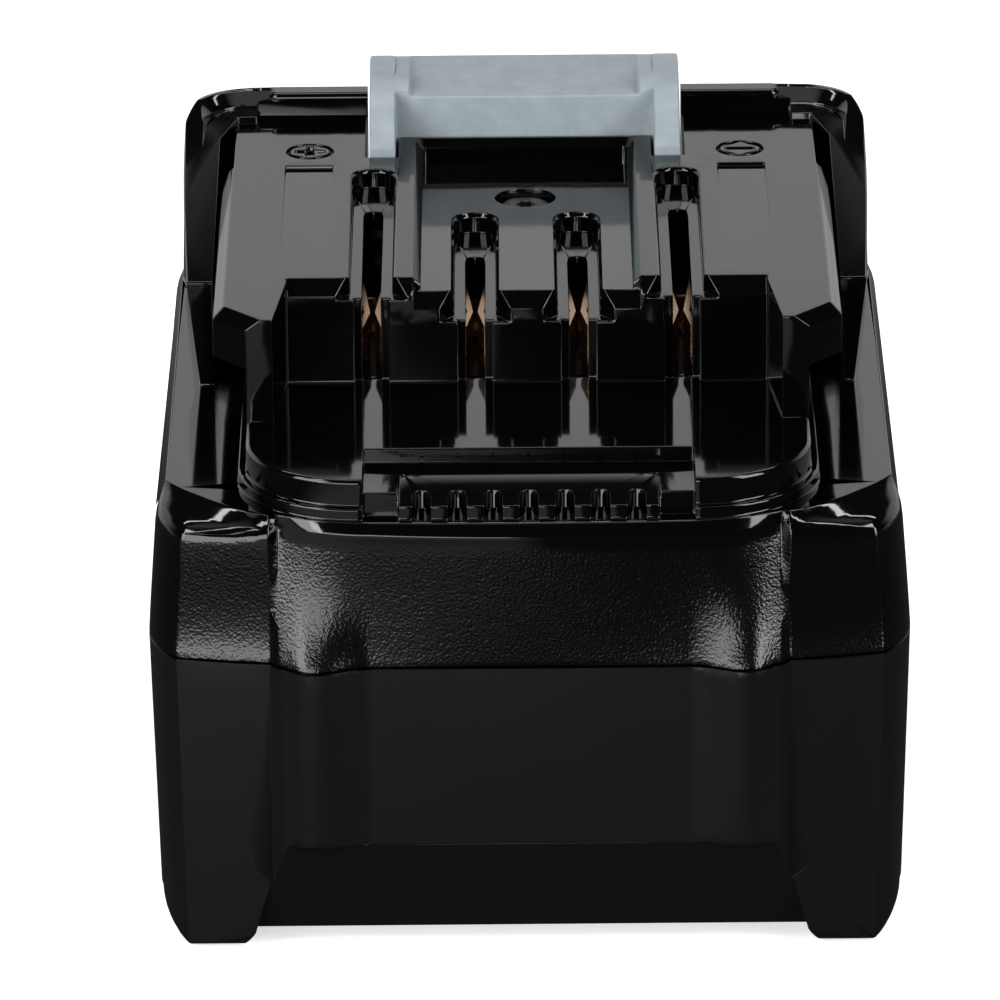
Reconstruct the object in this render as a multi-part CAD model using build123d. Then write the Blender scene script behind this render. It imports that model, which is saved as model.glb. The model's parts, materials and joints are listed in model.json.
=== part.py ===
from build123d import *
import math
import os

# Power tool battery pack, slide-on type. Millimetres, +Z up.
# While it is being built, y = 0 is the face of the front corner pillars and the
# pack runs back along +Y. save() puts the origin under the centre of the box.

# Cells
CELL_DIAMETER = 18.4
CELL_LENGTH = 65.0
CELL_ROWS = 4
CELL_GAP = 0.4
CELL_LIFT = 0.4
CELL_NUB_DIAMETER = 6.0
CELL_NUB_HEIGHT = 1.2
CELL_GROOVE_DEPTH = 0.35
CELL_GROOVE_WIDTH = 1.6
CELL_GROOVE_SET_BACK = 3.0

# Case shell
WALL = 2.0
FLOOR = 2.0
SKID_HEIGHT = 2.0
SIDE_ROOM = 3.75
END_ROOM = 1.1
REAR_ROOM = 2.9
FRONT_WALL = 3.0
REAR_WALL = 3.0
OVERRUN = 3.0
PARTING_BELOW_AXIS = 1.0
RIM_THICKNESS = 0.9
RIM_HEIGHT = 1.4
RIM_CLEARANCE = 0.1
REAR_CORNER_RADIUS = 10.0

# Front of the case
CENTRE_HALF = 25.1
BLOCK_EDGE = 26.0
SHOULDER = 15.8
FRONT_BOW = 1.4
FRONT_SAG = 0.1
BULGE = 1.7
EDGE_SET_OUT = 1.0
TOP_SET_BACK = 2.35
LIP_SHOULDER_BACK = 0.8
LIP_DEPTH = 1.2
LIP_HEIGHT = 1.15
CORNER_DEPTH = 11.5
SIDE_DRAFT = 1.15
REAR_DRAFT = 0.6
LEDGE_INSET = 1.75
BULGE_X_SHARES = (0.12, 0.34, 0.56, 0.73, 0.89)
BULGE_Y_SHARES = (0.10, 0.60, 1.00, 0.95, 0.40)
BLOCK_LOW_SHARES = ((0.0, 0.0), (0.41, 0.065), (0.77, 0.148), (0.92, 0.40), (1.0, 1.0))
BLOCK_LEDGE_SHARES = ((0.0, 0.20), (0.44, 0.478), (0.667, 0.696), (0.848, 0.878), (1.0, 1.078))
ROLL_SHARES = ((0.0, 0.0), (0.05, 0.0), (0.11, 0.0), (0.18, 0.0), (0.27, 0.0), (0.38, 0.0),
               (0.50, 0.0), (0.64, 0.0), (0.80, 0.0), (0.865, 0.05), (0.90, 0.16), (0.925, 0.28),
               (1.0, 1.0))
FLARE_POWER = 2.4
DISH = 0.9
DISH_POWER = 6
DISH_SHARES = (1.0, 1.0, 0.85, 0.35, 0.0)

# Lower case
CENTRE_CUT_HEIGHT = 12.3
CENTRE_CUT_BACK = 3.3
LOWER_BULGE_SHARE = 0.55
LOWER_DRAFT = 0.85
FOOT_INNER_TOP = 25.1
FOOT_INNER_BOTTOM = 27.9
FOOT_FLAT_INNER = 29.2
FOOT_CORNER_RADIUS = 4.5
FOOT_END_RADIUS = 3.0
CAVITY_CORNER_RADIUS = 4.0
CAVITY_TOP_INSET = 1.75

# Ledge, deck and platform
LEDGE_ABOVE_CELLS = 4.85
DECK_STEP = 4.0
PLATFORM_STEP = 10.9
DECK_HALF = 28.4
DECK_FRONT = 1.3
DECK_CORNER_RADIUS = 11.3
DECK_EDGE_RADIUS = 0.5
TIER_OUTSET = 0.8
TIER_HEIGHT = 1.2
SKIN = 2.0

# Niche in the deck front with the fluted block
NICHE_HALF = 16.6
NICHE_REAR = 10.2
POCKET_FRONT = 1.8
NICHE_SHELF_BELOW_DECK = 1.55
FLUTE_BLOCK_HALF = 13.0
FLUTE_BLOCK_FRONT = 0.6
FLUTE_BLOCK_REAR = 7.9
FLUTE_BLOCK_FRONT_LIFT = 1.44
FLUTE_COUNT = 7
FLUTE_PITCH = 3.57
FLUTE_WIDTH = 1.8
FLUTE_REAR = 3.9

# Rails
RAIL_OVERHANG = 3.4
RAIL_THICKNESS = 5.3
RAIL_CHAMFER = 1.13
POST_WIDTH = 2.7
RAIL_STOP = 65.7
POST_FRONT = 18.2
RAIL_END_BACK = 3.8
WALL_END_IN = 3.9
WALL_FACE = 29.3
WALL_CHAMFER = 1.5
PLATFORM_REAR = 78.9

# Slots for the tool blades
SLOT_OFFSET_SHARES = (-1.5, -0.5, 0.5, 1.5)
SLOT_PITCH = 10.57
SLOT_WIDTH = 4.3
SLOT_STEP_DEPTH = 2.0
SLIT_WIDTH = 1.95
SLOT_WALL_WIDTH = 3.6
SLOT_WALL_DEPTH = 0.9
SLOT_OUTER_REAR = 64.6
SLOT_INNER_REAR = 57.0
SLIT_SET_BACK = 7.6
SLOT_FLARE = 0.6
SLOT_HOOD_WALL = 1.2
SLOT_HOOD_DEPTH = 2.0
SLOT_RIM = 0.3

# Centre recess, cover screw and marks
RECESS_HALF = 11.6
RECESS_DEPTH = 1.5
RECESS_REAR_DEPTH = 2.8
RECESS_CHAMFER = 0.8
RECESS_REAR = 74.6
RECESS_CORNER = 1.0
SCREW_HOLE_DIAMETER = 6.3
COVER_SCREW_Y = 62.3
COVER_SEAT_DEPTH = 3.7
COVER_SEAT_THICKNESS = 1.8
PANEL_INNER = 20.2
PANEL_OUTER = 25.2
PANEL_FRONT = 33.0
PANEL_REAR = 66.0
PANEL_DEPTH = 0.4
MARK_X = 22.7
MARK_Y = 70.6
MARK_DIAMETER = 5.0
MARK_STROKE = 0.8
MARK_ARM = 3.1
MARK_DEPTH = 0.5

# Rear block and fence
REAR_BLOCK_HALF = 27.3
REAR_BLOCK_FRONT = 82.6
REAR_BLOCK_LIFT = 2.4
REAR_BLOCK_REAR_IN = 0.4
REAR_BLOCK_RADIUS = 1.1
FENCE_GAP = 0.45
FENCE_CORNER_ACROSS = 1.75
FENCE_CORNER_ALONG = 5.1
FENCE_FRONT = 39.6
FENCE_REAR_LIFT = 1.2
FENCE_END_LIFT = 0.62
FENCE_FRONT_DROP = 3.5
FENCE_TOP_IN = 2.25
FENCE_FOOT_FRONT = 1.25
FENCE_FOOT_MIDDLE = 2.4
FENCE_TOP_REAR_IN = 0.9
FENCE_FOOT_RADIUS = 9.6
FENCE_TOP_RADIUS = 8.0
CREST_IN = 2.95
CREST_RADIUS = 6.0
CREST_REAR_IN = 1.0
CREST_START = 71.9
CREST_END = 80.9
BASIN_LOW_IN = 1.3
BASIN_REAR_IN = 2.8
BASIN_SIDE_OUT = 1.4
BASIN_REAR_OUT = 2.5
REAR_STEP = 1.0

# Latch
LATCH_HALF = 16.4
LATCH_CLEARANCE = 0.3
LATCH_TRAVEL = 6.5
LATCH_FRONT = 75.4
LATCH_TOP_LIFT = 5.9
LATCH_FACE_LIFT = 4.4
LATCH_REAR_IN = 1.0
LATCH_SKIRT_IN = 2.5
APRON_LIFT = 1.3
APRON_THICKNESS = 1.5
LATCH_FOOT_DEPTH = 2.5
LEG_WIDTH = 2.75
LEG_REACH = 6.5
LEG_FRONT_LIFT = 0.85
LEG_BELOW = 6.4
LEG_CROWN_SHARE = 0.95
LEG_WIDE = 4.2
LATCH_WALL = 1.8
LATCH_FOOT_OUT = 2.0
LATCH_FOOT_HEIGHT = 2.2
LATCH_SKIRT = 5.0
LATCH_SWELL = 2.8
SWELL_WALL = 1.2
CHAMBER_FLOOR = 1.0
CHAMBER_WALL = 1.6
THUMB_DEPTH = 0.9
THUMB_HEIGHT = 5.6
THUMB_SHELF_RISE = 0.8
GRIP_RIB_COUNT = 3
GRIP_RIB_PITCH = 2.2
GRIP_RIB_HEIGHT = 0.4
GRIP_RIB_WIDTH = 0.9

# Springs under the latch
SPRING_X = 9.0
SPRING_RADIUS = 1.9
SPRING_WIRE = 0.55
SPRING_TURNS = 6
SPRING_POST_RADIUS = 1.3
SPRING_POST_HEIGHT = 2.5

# Screws
CASE_SCREW_X = 31.0
CASE_SCREW_SHANK = 1.2
CASE_SCREW_HEAD = 2.2
CASE_SCREW_HEAD_HEIGHT = 1.6
CASE_SCREW_LENGTH = 6.5
CASE_SCREW_SEAT = 2.0
COVER_SCREW_SHANK = 1.5
COVER_SCREW_HEAD = 2.8
COVER_SCREW_HEAD_HEIGHT = 2.0
COVER_SCREW_LENGTH = 8.0
BOARD_SCREW_SHANK = 1.1
BOARD_SCREW_HEAD = 2.0
BOARD_SCREW_HEAD_HEIGHT = 1.3
BOARD_SCREW_LENGTH = 5.5
SCREW_FIT = 0.1
DRIVE_RADIUS = 1.0
DRIVE_DEPTH = 1.0
DRIVE_LOBES = 6
DRIVE_CORE_SHARE = 0.7
DRIVE_LOBE_PLACE_SHARE = 0.75
DRIVE_LOBE_SHARE = 0.3

# Cell holders
HOLDER_LENGTH = 12.0
HOLDER_FIT = 0.05
HOLDER_SIDE_GAP = 0.2
HOLDER_TOP_WALL = 0.9
HOLDER_CORNER_RADIUS = 3.0

# Welded strips
STRIP_THICKNESS = 0.2
STRIP_WIDTH = 8.0
STRIP_TAB_WIDTH = 5.0
STRIP_TAB_REACH = 9.5

# Circuit board and what it carries
BOARD_HALF = 25.0
BOARD_THICKNESS = 1.6
BOARD_FRONT = 12.8
BOARD_REAR = 67.2
BOARD_GAP = 0.9
BOARD_SCREW_X = 22.6
BOARD_CORNER_RADIUS = 2.0
CHIP_SIDE = 7.0
CHIP_HEIGHT = 1.0
CHIP_LEG_COUNT = 8
CHIP_LEG_PITCH = 0.8
CHIP_LEG_WIDTH = 0.35
CHIP_LEG_LENGTH = 0.9
CHIP_X = -6.0
CHIP_Y = 20.5
TRANSISTOR_LENGTH = 6.2
TRANSISTOR_WIDTH = 5.2
TRANSISTOR_HEIGHT = 1.1
TRANSISTOR_X = 9.0
TRANSISTOR_Y = 20.0
TRANSISTOR_COUNT = 2
CAPACITOR_RADIUS = 1.6
CAPACITOR_HEIGHT = 2.4
CAPACITOR_X = 0.8
CAPACITOR_COUNT = 2
CAPACITOR_PITCH = 4.0
FUSE_LENGTH = 8.0
FUSE_WIDTH = 4.0
FUSE_HEIGHT = 1.8
FUSE_X = -17.5

# Terminals
BLOCK_HALF = 19.6
BLOCK_BASE = 2.2
BLOCK_FRONT = 33.0
BLOCK_REAR = 66.6
PART_WALL = 1.2
PART_WALL_HEIGHT = 7.0
CONTACT_FRONT = 34.6
CONTACT_REAR = 54.0
CONTACT_PINCH = 39.0
CONTACT_LEAF = 0.6
CONTACT_ROOT_OUT = 1.5
CONTACT_PINCH_OUT = 0.25
CONTACT_MOUTH_OUT = 0.9
CONTACT_HEIGHT = 7.4
CONTACT_FOOT = 0.6

# Temperature sensor
SENSOR_RADIUS = 1.3
SENSOR_ROUND_SHARE = 0.9
SENSOR_LEAD_RADIUS = 0.35
SENSOR_LEAD_PITCH = 1.5

# Heights and lengths that follow
CELL_RADIUS = CELL_DIAMETER / 2
CELL_PITCH = CELL_DIAMETER + CELL_GAP
CELL_HALF = CELL_LENGTH / 2
CASE_HALF = CELL_HALF + SIDE_ROOM + WALL
CELL_BLOCK = (CELL_ROWS - 1) * CELL_PITCH + CELL_DIAMETER
CASE_DEPTH = FRONT_WALL + REAR_WALL + 2 * END_ROOM + REAR_ROOM + CELL_BLOCK
CELL_FIRST = FRONT_WALL + END_ROOM + CELL_RADIUS
FLOOR_TOP = SKID_HEIGHT + FLOOR
LOWER_AXIS = FLOOR_TOP + CELL_LIFT + CELL_RADIUS
UPPER_AXIS = LOWER_AXIS + CELL_PITCH
CELL_TOP = UPPER_AXIS + CELL_RADIUS
PARTING = UPPER_AXIS - PARTING_BELOW_AXIS
LEDGE = CELL_TOP + LEDGE_ABOVE_CELLS
DECK = LEDGE + DECK_STEP
NICHE_SHELF = DECK - NICHE_SHELF_BELOW_DECK
PLATFORM = DECK + PLATFORM_STEP
REAR_TOP = PLATFORM + REAR_BLOCK_LIFT
FENCE_TOP = PLATFORM + FENCE_REAR_LIFT
HOLDER_TOP = CELL_TOP + HOLDER_TOP_WALL
BOARD_BOTTOM = HOLDER_TOP + BOARD_GAP
BOARD_TOP = BOARD_BOTTOM + BOARD_THICKNESS
CEILING = LEDGE - SKIN
CAVITY_REAR = CASE_DEPTH - REAR_WALL
LEG_FRONT = LATCH_FRONT - LEG_REACH
SWELL_FRONT = LATCH_FRONT - LATCH_SWELL
CHAMBER_FRONT = SWELL_FRONT - LATCH_CLEARANCE - CHAMBER_WALL
CHAMBER_BOTTOM = HOLDER_TOP + CELL_LIFT
CHAMBER_TOP = CHAMBER_BOTTOM + CHAMBER_FLOOR
LATCH_BOTTOM = CHAMBER_TOP + LATCH_CLEARANCE + LATCH_TRAVEL
LATCH_REAR = CASE_DEPTH - LATCH_REAR_IN
LATCH_TOP = PLATFORM + LATCH_TOP_LIFT
RECESS_FLOOR = PLATFORM - RECESS_DEPTH
BLOCK_BOSS_TOP = RECESS_FLOOR - COVER_SEAT_DEPTH - COVER_SEAT_THICKNESS - LATCH_CLEARANCE
FRONT_REACH = FRONT_BOW + BULGE + FRONT_SAG
CENTRE_Y = (CASE_DEPTH - FRONT_REACH) / 2
RAIL_HALF = DECK_HALF + RAIL_OVERHANG
WALL_HALF = DECK_HALF - WALL_END_IN
POST_INNER_FRONT = DECK_HALF - POST_WIDTH
FENCE_INNER = RAIL_HALF + FENCE_GAP
FENCE_TOP_HALF = CASE_HALF - FENCE_TOP_IN
PLATFORM_END = PLATFORM_REAR + REAR_STEP
SLOT_XS = [share * SLOT_PITCH for share in SLOT_OFFSET_SHARES]


def save(name, shape):
    """Write one sub-part with the origin under the centre of the pack."""
    placed = Pos(0, -CENTRE_Y, 0) * shape
    export_step(placed, os.path.join("parts", name + ".step"))


def group(pieces):
    """Separate solids that share one node."""
    whole = Part()
    for piece in pieces:
        whole = whole + piece
    return whole


def block(x_low, x_high, y_low, y_high, z_low, z_high):
    """Box between two corners."""
    middle = Pos((x_low + x_high) / 2, (y_low + y_high) / 2, (z_low + z_high) / 2)
    return middle * Box(x_high - x_low, y_high - y_low, z_high - z_low)


def both_sides(shape):
    """A shape and its mirror image across the middle of the pack."""
    return shape + mirror(shape, about=Plane.YZ)


def outline(points):
    """Face inside a closed polygon."""
    return make_face(Polyline(*points, close=True))


def prism(face, z_low, z_high):
    """Flat face raised from z_low to z_high."""
    return extrude(Pos(0, 0, z_low) * face, z_high - z_low)


def side_prism(points, x_low, x_high):
    """Polygon in (y, z) carried along X."""
    return extrude(Plane.YZ.offset(x_low) * outline(points), x_high - x_low)


def front_prism(points, y_low, y_high):
    """Polygon in (x, z) carried along Y."""
    return extrude(Plane.XZ.offset(-y_high) * outline(points), y_high - y_low)


def rod(x, y, radius, z_low, z_high):
    """Upright cylinder."""
    return Pos(x, y, (z_low + z_high) / 2) * Cylinder(radius, z_high - z_low)


def rounded_face(half, front, rear, front_radius, rear_radius):
    """Plan outline with its own corner radius at the front and at the rear."""
    face = outline([(-half, front), (half, front), (half, rear), (-half, rear)])
    front_corners = face.vertices().sort_by(Axis.Y)[:2]
    face = fillet(front_corners, front_radius)
    rear_corners = face.vertices().sort_by(Axis.Y)[-2:]
    return fillet(rear_corners, rear_radius)


def sized(low, high, share):
    """Value a share of the way from low to high."""
    return low + (high - low) * share


# Outer skin of both case halves


def block_points(half, roll, dish):
    """Plan of a corner pillar, from its inner edge to where the side runs straight."""
    points = []
    ledge_half = CASE_HALF - LEDGE_INSET
    shares = zip(BLOCK_LOW_SHARES, BLOCK_LEDGE_SHARES, DISH_SHARES)
    for low_share, ledge_share, dish_share in shares:
        x_low = sized(BLOCK_EDGE, half, low_share[0])
        x_ledge = sized(BLOCK_EDGE, ledge_half, ledge_share[0])
        y_low = low_share[1] * CORNER_DEPTH
        y_ledge = ledge_share[1] * CORNER_DEPTH
        y = sized(y_low, y_ledge, roll) + dish * dish_share * (1 - roll)
        points.append((sized(x_low, x_ledge, roll), y))
    return points


def skin_section(z, half, rear, front, bulge, roll, dish):
    """Closed plan section of the case skin at height z."""
    centre, shoulder, edge = front
    pillar = block_points(half, roll, dish)
    step = CENTRE_HALF - SHOULDER
    bumps = []
    for x_share, y_share in zip(BULGE_X_SHARES, BULGE_Y_SHARES):
        y = sized(shoulder, edge, x_share ** 2) - bulge * y_share
        bumps.append((SHOULDER + step * x_share, y))
    right = [
        Spline((SHOULDER, shoulder), *bumps, (CENTRE_HALF, edge)),
        Line((CENTRE_HALF, edge), pillar[0]),
        ThreePointArc(pillar[0], pillar[1], pillar[2]),
        ThreePointArc(pillar[2], pillar[3], pillar[4]),
        Line(pillar[4], (half_end(half, roll), rear - REAR_CORNER_RADIUS)),
        rear_arc(half_end(half, roll), rear),
    ]
    left = [mirror(edge_line, about=Plane.YZ) for edge_line in reversed(right)]
    bow = ThreePointArc((-SHOULDER, shoulder), (0, centre), (SHOULDER, shoulder))
    inset = half_end(half, roll) - REAR_CORNER_RADIUS
    back = Line((inset, rear), (-inset, rear))
    edges = [line for part in [[bow], right, [back], left] for line in part]
    return Pos(0, 0, z) * make_face(edges)


def half_end(half, roll):
    """Half width where the side runs straight."""
    return sized(half, CASE_HALF - LEDGE_INSET, roll)


def rear_arc(half, rear):
    """Quarter turn at a rear corner."""
    centre = (half - REAR_CORNER_RADIUS, rear - REAR_CORNER_RADIUS)
    reach = REAR_CORNER_RADIUS * math.cos(math.radians(45))
    middle = (centre[0] + reach, centre[1] + reach)
    return ThreePointArc((half, centre[1]), middle, (centre[0], rear))


def upper_skin():
    """Outer body of the upper case between the parting line and the ledge."""
    height = LEDGE - PARTING
    lip_start = height - LIP_HEIGHT
    sections = []
    for height_share, roll in ROLL_SHARES:
        z = PARTING + height * height_share
        rise = min(height * height_share / lip_start, 1)
        flare = (1 - rise) ** FLARE_POWER
        centre = -FRONT_BOW - FRONT_SAG * flare
        shoulder = sized(-FRONT_BOW + LIP_SHOULDER_BACK, -FRONT_BOW, flare)
        edge = sized(-EDGE_SET_OUT, TOP_SET_BACK, rise)
        if height_share == 1:
            centre = centre + LIP_DEPTH
            shoulder = shoulder + LIP_DEPTH / 2
        half = CASE_HALF - SIDE_DRAFT * height_share
        rear = CASE_DEPTH - REAR_DRAFT * height_share
        dish = DISH * (1 - (1 - height_share) ** DISH_POWER)
        front = (centre, shoulder, edge)
        sections.append(skin_section(z, half, rear, front, BULGE * flare, roll, dish))
    return loft(sections, ruled=True)


def lower_skin():
    """Outer body of the lower case before the skids are shaped."""
    low_half = CASE_HALF - LOWER_DRAFT
    low_bulge = BULGE * LOWER_BULGE_SHARE
    low_rear = CASE_DEPTH - LOWER_DRAFT
    front = (-FRONT_BOW - FRONT_SAG, -FRONT_BOW, -EDGE_SET_OUT)
    low = skin_section(0, low_half, low_rear, front, low_bulge, 0, 0)
    high = skin_section(PARTING, CASE_HALF, CASE_DEPTH, front, BULGE, 0, 0)
    return loft([low, high], ruled=True)


def inner_skin(z_low, z_high, top_inset):
    """Hollow of the case between two heights."""
    half = CASE_HALF - WALL
    low = rounded_face(half, FRONT_WALL, CAVITY_REAR, CAVITY_CORNER_RADIUS, CAVITY_CORNER_RADIUS)
    high = rounded_face(half - top_inset, FRONT_WALL, CAVITY_REAR,
                        CAVITY_CORNER_RADIUS, CAVITY_CORNER_RADIUS)
    return loft([Pos(0, 0, z_low) * low, Pos(0, 0, z_high) * high], ruled=True)


# Lower case


def lower_case():
    """Lower shell with skids, screw wells under them and a joint rim."""
    body = lower_skin()
    low_half = CASE_HALF - LOWER_DRAFT
    radius = FOOT_CORNER_RADIUS
    top = PARTING + OVERRUN
    wide = CASE_HALF + OVERRUN
    profile = outline([
        (-wide, top), (wide, top), (wide, radius), (low_half, radius), (low_half - radius, 0),
        (FOOT_FLAT_INNER, 0), (FOOT_INNER_BOTTOM, SKID_HEIGHT),
        (-FOOT_INNER_BOTTOM, SKID_HEIGHT), (-FOOT_FLAT_INNER, 0),
        (radius - low_half, 0), (-low_half, radius), (-wide, radius),
    ])
    for side in (-1, 1):
        profile = profile + Pos(side * (low_half - radius), radius) * Circle(radius)
    sheath = extrude(Plane.XZ.offset(-CASE_DEPTH - OVERRUN) * profile, CASE_DEPTH + 3 * OVERRUN)
    body = body & sheath
    body = body - front_relief()
    body = body - inner_skin(FLOOR_TOP, PARTING + OVERRUN, 0) - end_rounding()
    body = body + joint_rim()
    for cutter in case_screw_holes():
        body = body - cutter
    return body


def end_rounding():
    """What is cut away to round the front and rear ends of the skids."""
    radius = FOOT_END_RADIUS
    rear = CASE_DEPTH - LOWER_DRAFT
    cutters = None
    for end, inward in ((0, 1), (rear, -1)):
        out = end - inward * OVERRUN * 2
        corner = side_prism([(out, -OVERRUN), (end + inward * radius, -OVERRUN),
                             (end + inward * radius, radius), (out, radius)],
                            -CASE_HALF - OVERRUN, CASE_HALF + OVERRUN)
        wheel = Pos(0, end + inward * radius, radius) * Rot(0, 90, 0) * Cylinder(
            radius, 2 * (CASE_HALF + 2 * OVERRUN))
        piece = corner - wheel
        cutters = piece if cutters is None else cutters + piece
    return cutters


def front_relief():
    """Slanted cut under the front panel, between the pillars."""
    low = (CENTRE_CUT_BACK - FRONT_BOW, SKID_HEIGHT)
    high = (-FRONT_BOW, CENTRE_CUT_HEIGHT)
    out = -FRONT_REACH - OVERRUN
    wedge = side_prism([(out, -OVERRUN), (low[0], -OVERRUN), low, high, (out, CENTRE_CUT_HEIGHT)],
                       -FOOT_INNER_BOTTOM, FOOT_INNER_BOTTOM)
    gate = front_prism([(-FOOT_INNER_TOP, CENTRE_CUT_HEIGHT), (-FOOT_INNER_BOTTOM, SKID_HEIGHT),
                        (-FOOT_INNER_BOTTOM, -OVERRUN), (FOOT_INNER_BOTTOM, -OVERRUN),
                        (FOOT_INNER_BOTTOM, SKID_HEIGHT), (FOOT_INNER_TOP, CENTRE_CUT_HEIGHT)],
                       out, CASE_DEPTH)
    return wedge & gate


def joint_rim():
    """Thin rim of the lower case that stands up inside the upper case."""
    half = CASE_HALF - WALL
    outer = rounded_face(half - RIM_CLEARANCE, FRONT_WALL + RIM_CLEARANCE,
                         CAVITY_REAR - RIM_CLEARANCE, CAVITY_CORNER_RADIUS, CAVITY_CORNER_RADIUS)
    inner = offset(outer, -RIM_THICKNESS)
    ring = prism(outer, PARTING - RIM_HEIGHT, PARTING + RIM_HEIGHT)
    ring = ring - prism(inner, PARTING - RIM_HEIGHT - OVERRUN, PARTING + RIM_HEIGHT + OVERRUN)
    filler = prism(offset(outer, RIM_CLEARANCE), PARTING - RIM_HEIGHT, PARTING)
    filler = filler - prism(inner, PARTING - RIM_HEIGHT - OVERRUN, PARTING + OVERRUN)
    return ring + filler


def case_screw_places():
    """Four places under the skids, in line with the spaces between cell rows."""
    return [(side * CASE_SCREW_X, y) for side in (-1, 1) for y in row_gaps()]


def row_gaps():
    """Depths of the two spaces between cell rows where screws can pass."""
    return (row_y(0) + CELL_PITCH / 2, row_y(CELL_ROWS - 2) + CELL_PITCH / 2)


def case_screw_holes():
    """Wells and through holes under the skids."""
    cutters = []
    for x, y in case_screw_places():
        cutters.append(rod(x, y, CASE_SCREW_HEAD + SCREW_FIT, -OVERRUN, CASE_SCREW_SEAT))
        cutters.append(rod(x, y, CASE_SCREW_SHANK + SCREW_FIT, 0, FLOOR_TOP + OVERRUN))
    return cutters


# Upper case


def deck_solid():
    """Raised deck with its lower tier, before the niche is cut."""
    rear = PLATFORM_REAR
    plan = rounded_face(DECK_HALF, DECK_FRONT, rear, DECK_CORNER_RADIUS, WALL)
    tier = rounded_face(DECK_HALF + TIER_OUTSET, DECK_FRONT - TIER_OUTSET, rear,
                        DECK_CORNER_RADIUS + TIER_OUTSET, WALL)
    deck = prism(plan, LEDGE - SKIN, DECK)
    top_edges = deck.edges().filter_by(lambda edge: edge.center().Z > DECK - DECK_EDGE_RADIUS / 2)
    front_edges = top_edges.filter_by(lambda edge: edge.center().Y < WALL_FACE * 2)
    deck = fillet(front_edges, DECK_EDGE_RADIUS)
    return deck + prism(tier, LEDGE - SKIN, LEDGE + TIER_HEIGHT)


def niche_cut():
    """Space cut into the deck front, with a level shelf behind and at both sides."""
    front = -FRONT_REACH - OVERRUN
    deep = block(-NICHE_HALF, NICHE_HALF, front, POCKET_FRONT, LEDGE, DECK + OVERRUN)
    high = block(-NICHE_HALF, NICHE_HALF, front, NICHE_REAR, NICHE_SHELF, DECK + OVERRUN)
    middle = block(-FLUTE_BLOCK_HALF, FLUTE_BLOCK_HALF, front, FLUTE_BLOCK_REAR, LEDGE,
                   DECK + OVERRUN)
    return deep + high + middle


def flute_block():
    """Ramped block in the niche with its row of flutes."""
    rear = NICHE_REAR + SKIN
    ramp = side_prism([(FLUTE_BLOCK_FRONT, LEDGE - SKIN), (rear, LEDGE - SKIN),
                       (rear, NICHE_SHELF), (FLUTE_BLOCK_REAR, NICHE_SHELF),
                       (FLUTE_BLOCK_FRONT, LEDGE + FLUTE_BLOCK_FRONT_LIFT)],
                      -FLUTE_BLOCK_HALF, FLUTE_BLOCK_HALF)
    first = -(FLUTE_COUNT - 1) / 2 * FLUTE_PITCH
    for index in range(FLUTE_COUNT):
        x = first + index * FLUTE_PITCH
        radius = FLUTE_WIDTH / 2
        centre = FLUTE_REAR - radius
        slot = block(x - radius, x + radius, -OVERRUN, centre, LEDGE, DECK)
        ramp = ramp - slot - rod(x, centre, radius, LEDGE, DECK)
    return ramp


def platform_solid():
    """Raised platform with the two overhanging rails and the forward posts."""
    post_outer = DECK_HALF
    end = POST_FRONT + RAIL_END_BACK
    rail_plan = [(WALL_HALF, WALL_FACE), (POST_INNER_FRONT, POST_FRONT), (post_outer, POST_FRONT),
                 (RAIL_HALF, end), (RAIL_HALF, PLATFORM_END)]
    web_plan = [(WALL_HALF, WALL_FACE), (POST_INNER_FRONT, POST_FRONT), (post_outer, POST_FRONT),
                (post_outer, PLATFORM_END)]
    rails = prism(outline(mirror_plan(rail_plan)), PLATFORM - RAIL_THICKNESS, PLATFORM)
    slanted = rails.edges().filter_by(lambda edge: edge.center().Z > PLATFORM - WALL / 2)
    slanted = slanted.filter_by(lambda edge: abs(edge.center().X) > post_outer)
    rails = chamfer(slanted, RAIL_CHAMFER)
    rails = rails - both_sides(block(RAIL_HALF - RAIL_CHAMFER, RAIL_HALF + OVERRUN, RAIL_STOP,
                                     PLATFORM_END + OVERRUN, DECK, PLATFORM + OVERRUN))
    webs = prism(outline(mirror_plan(web_plan)), DECK - SKIN, PLATFORM - RAIL_THICKNESS)
    bay = REAR_BLOCK_HALF + REAR_BLOCK_RADIUS
    back = block(-bay, bay, PLATFORM_END - WALL, REAR_BLOCK_FRONT + WALL / 4, DECK - SKIN, PLATFORM)
    return rails + webs + back


def mirror_plan(points):
    """Right-hand plan points followed by their mirror images."""
    return points + [(-x, y) for x, y in reversed(points)]


def wall_chamfer():
    """Slanted top edge of the terminal wall, lower still across the centre recess."""
    y = WALL_FACE
    wide = side_prism([(y - OVERRUN, PLATFORM - WALL_CHAMFER - OVERRUN), (y, PLATFORM - WALL_CHAMFER),
                       (y + WALL_CHAMFER + OVERRUN, PLATFORM + OVERRUN),
                       (y - OVERRUN, PLATFORM + OVERRUN)], -WALL_HALF, WALL_HALF)
    low = PLATFORM - RECESS_DEPTH
    centre = side_prism([(y - OVERRUN, low - WALL_CHAMFER - OVERRUN), (y, low - WALL_CHAMFER),
                         (y + WALL_CHAMFER, low), (y + WALL_CHAMFER, PLATFORM + OVERRUN),
                         (y - OVERRUN, PLATFORM + OVERRUN)], -RECESS_HALF, RECESS_HALF)
    return wide + centre


def slot_plan(x, width, front, rear):
    """Plan of a slot that is open at the front and round at the rear."""
    radius = width / 2
    face = outline([(x - radius, front), (x + radius, front),
                    (x + radius, rear - radius), (x - radius, rear - radius)])
    return face + Pos(x, rear - radius) * Circle(radius)


def slot_top(x):
    """Surface that a slot opens in: the tray for the inner slots, else the platform."""
    return tray_height(SLOT_INNER_REAR + SLOT_WIDTH) if abs(x) < RECESS_HALF else PLATFORM


def slot_rear(x):
    """Rear end of a slot."""
    return SLOT_INNER_REAR if abs(x) < RECESS_HALF else SLOT_OUTER_REAR


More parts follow.
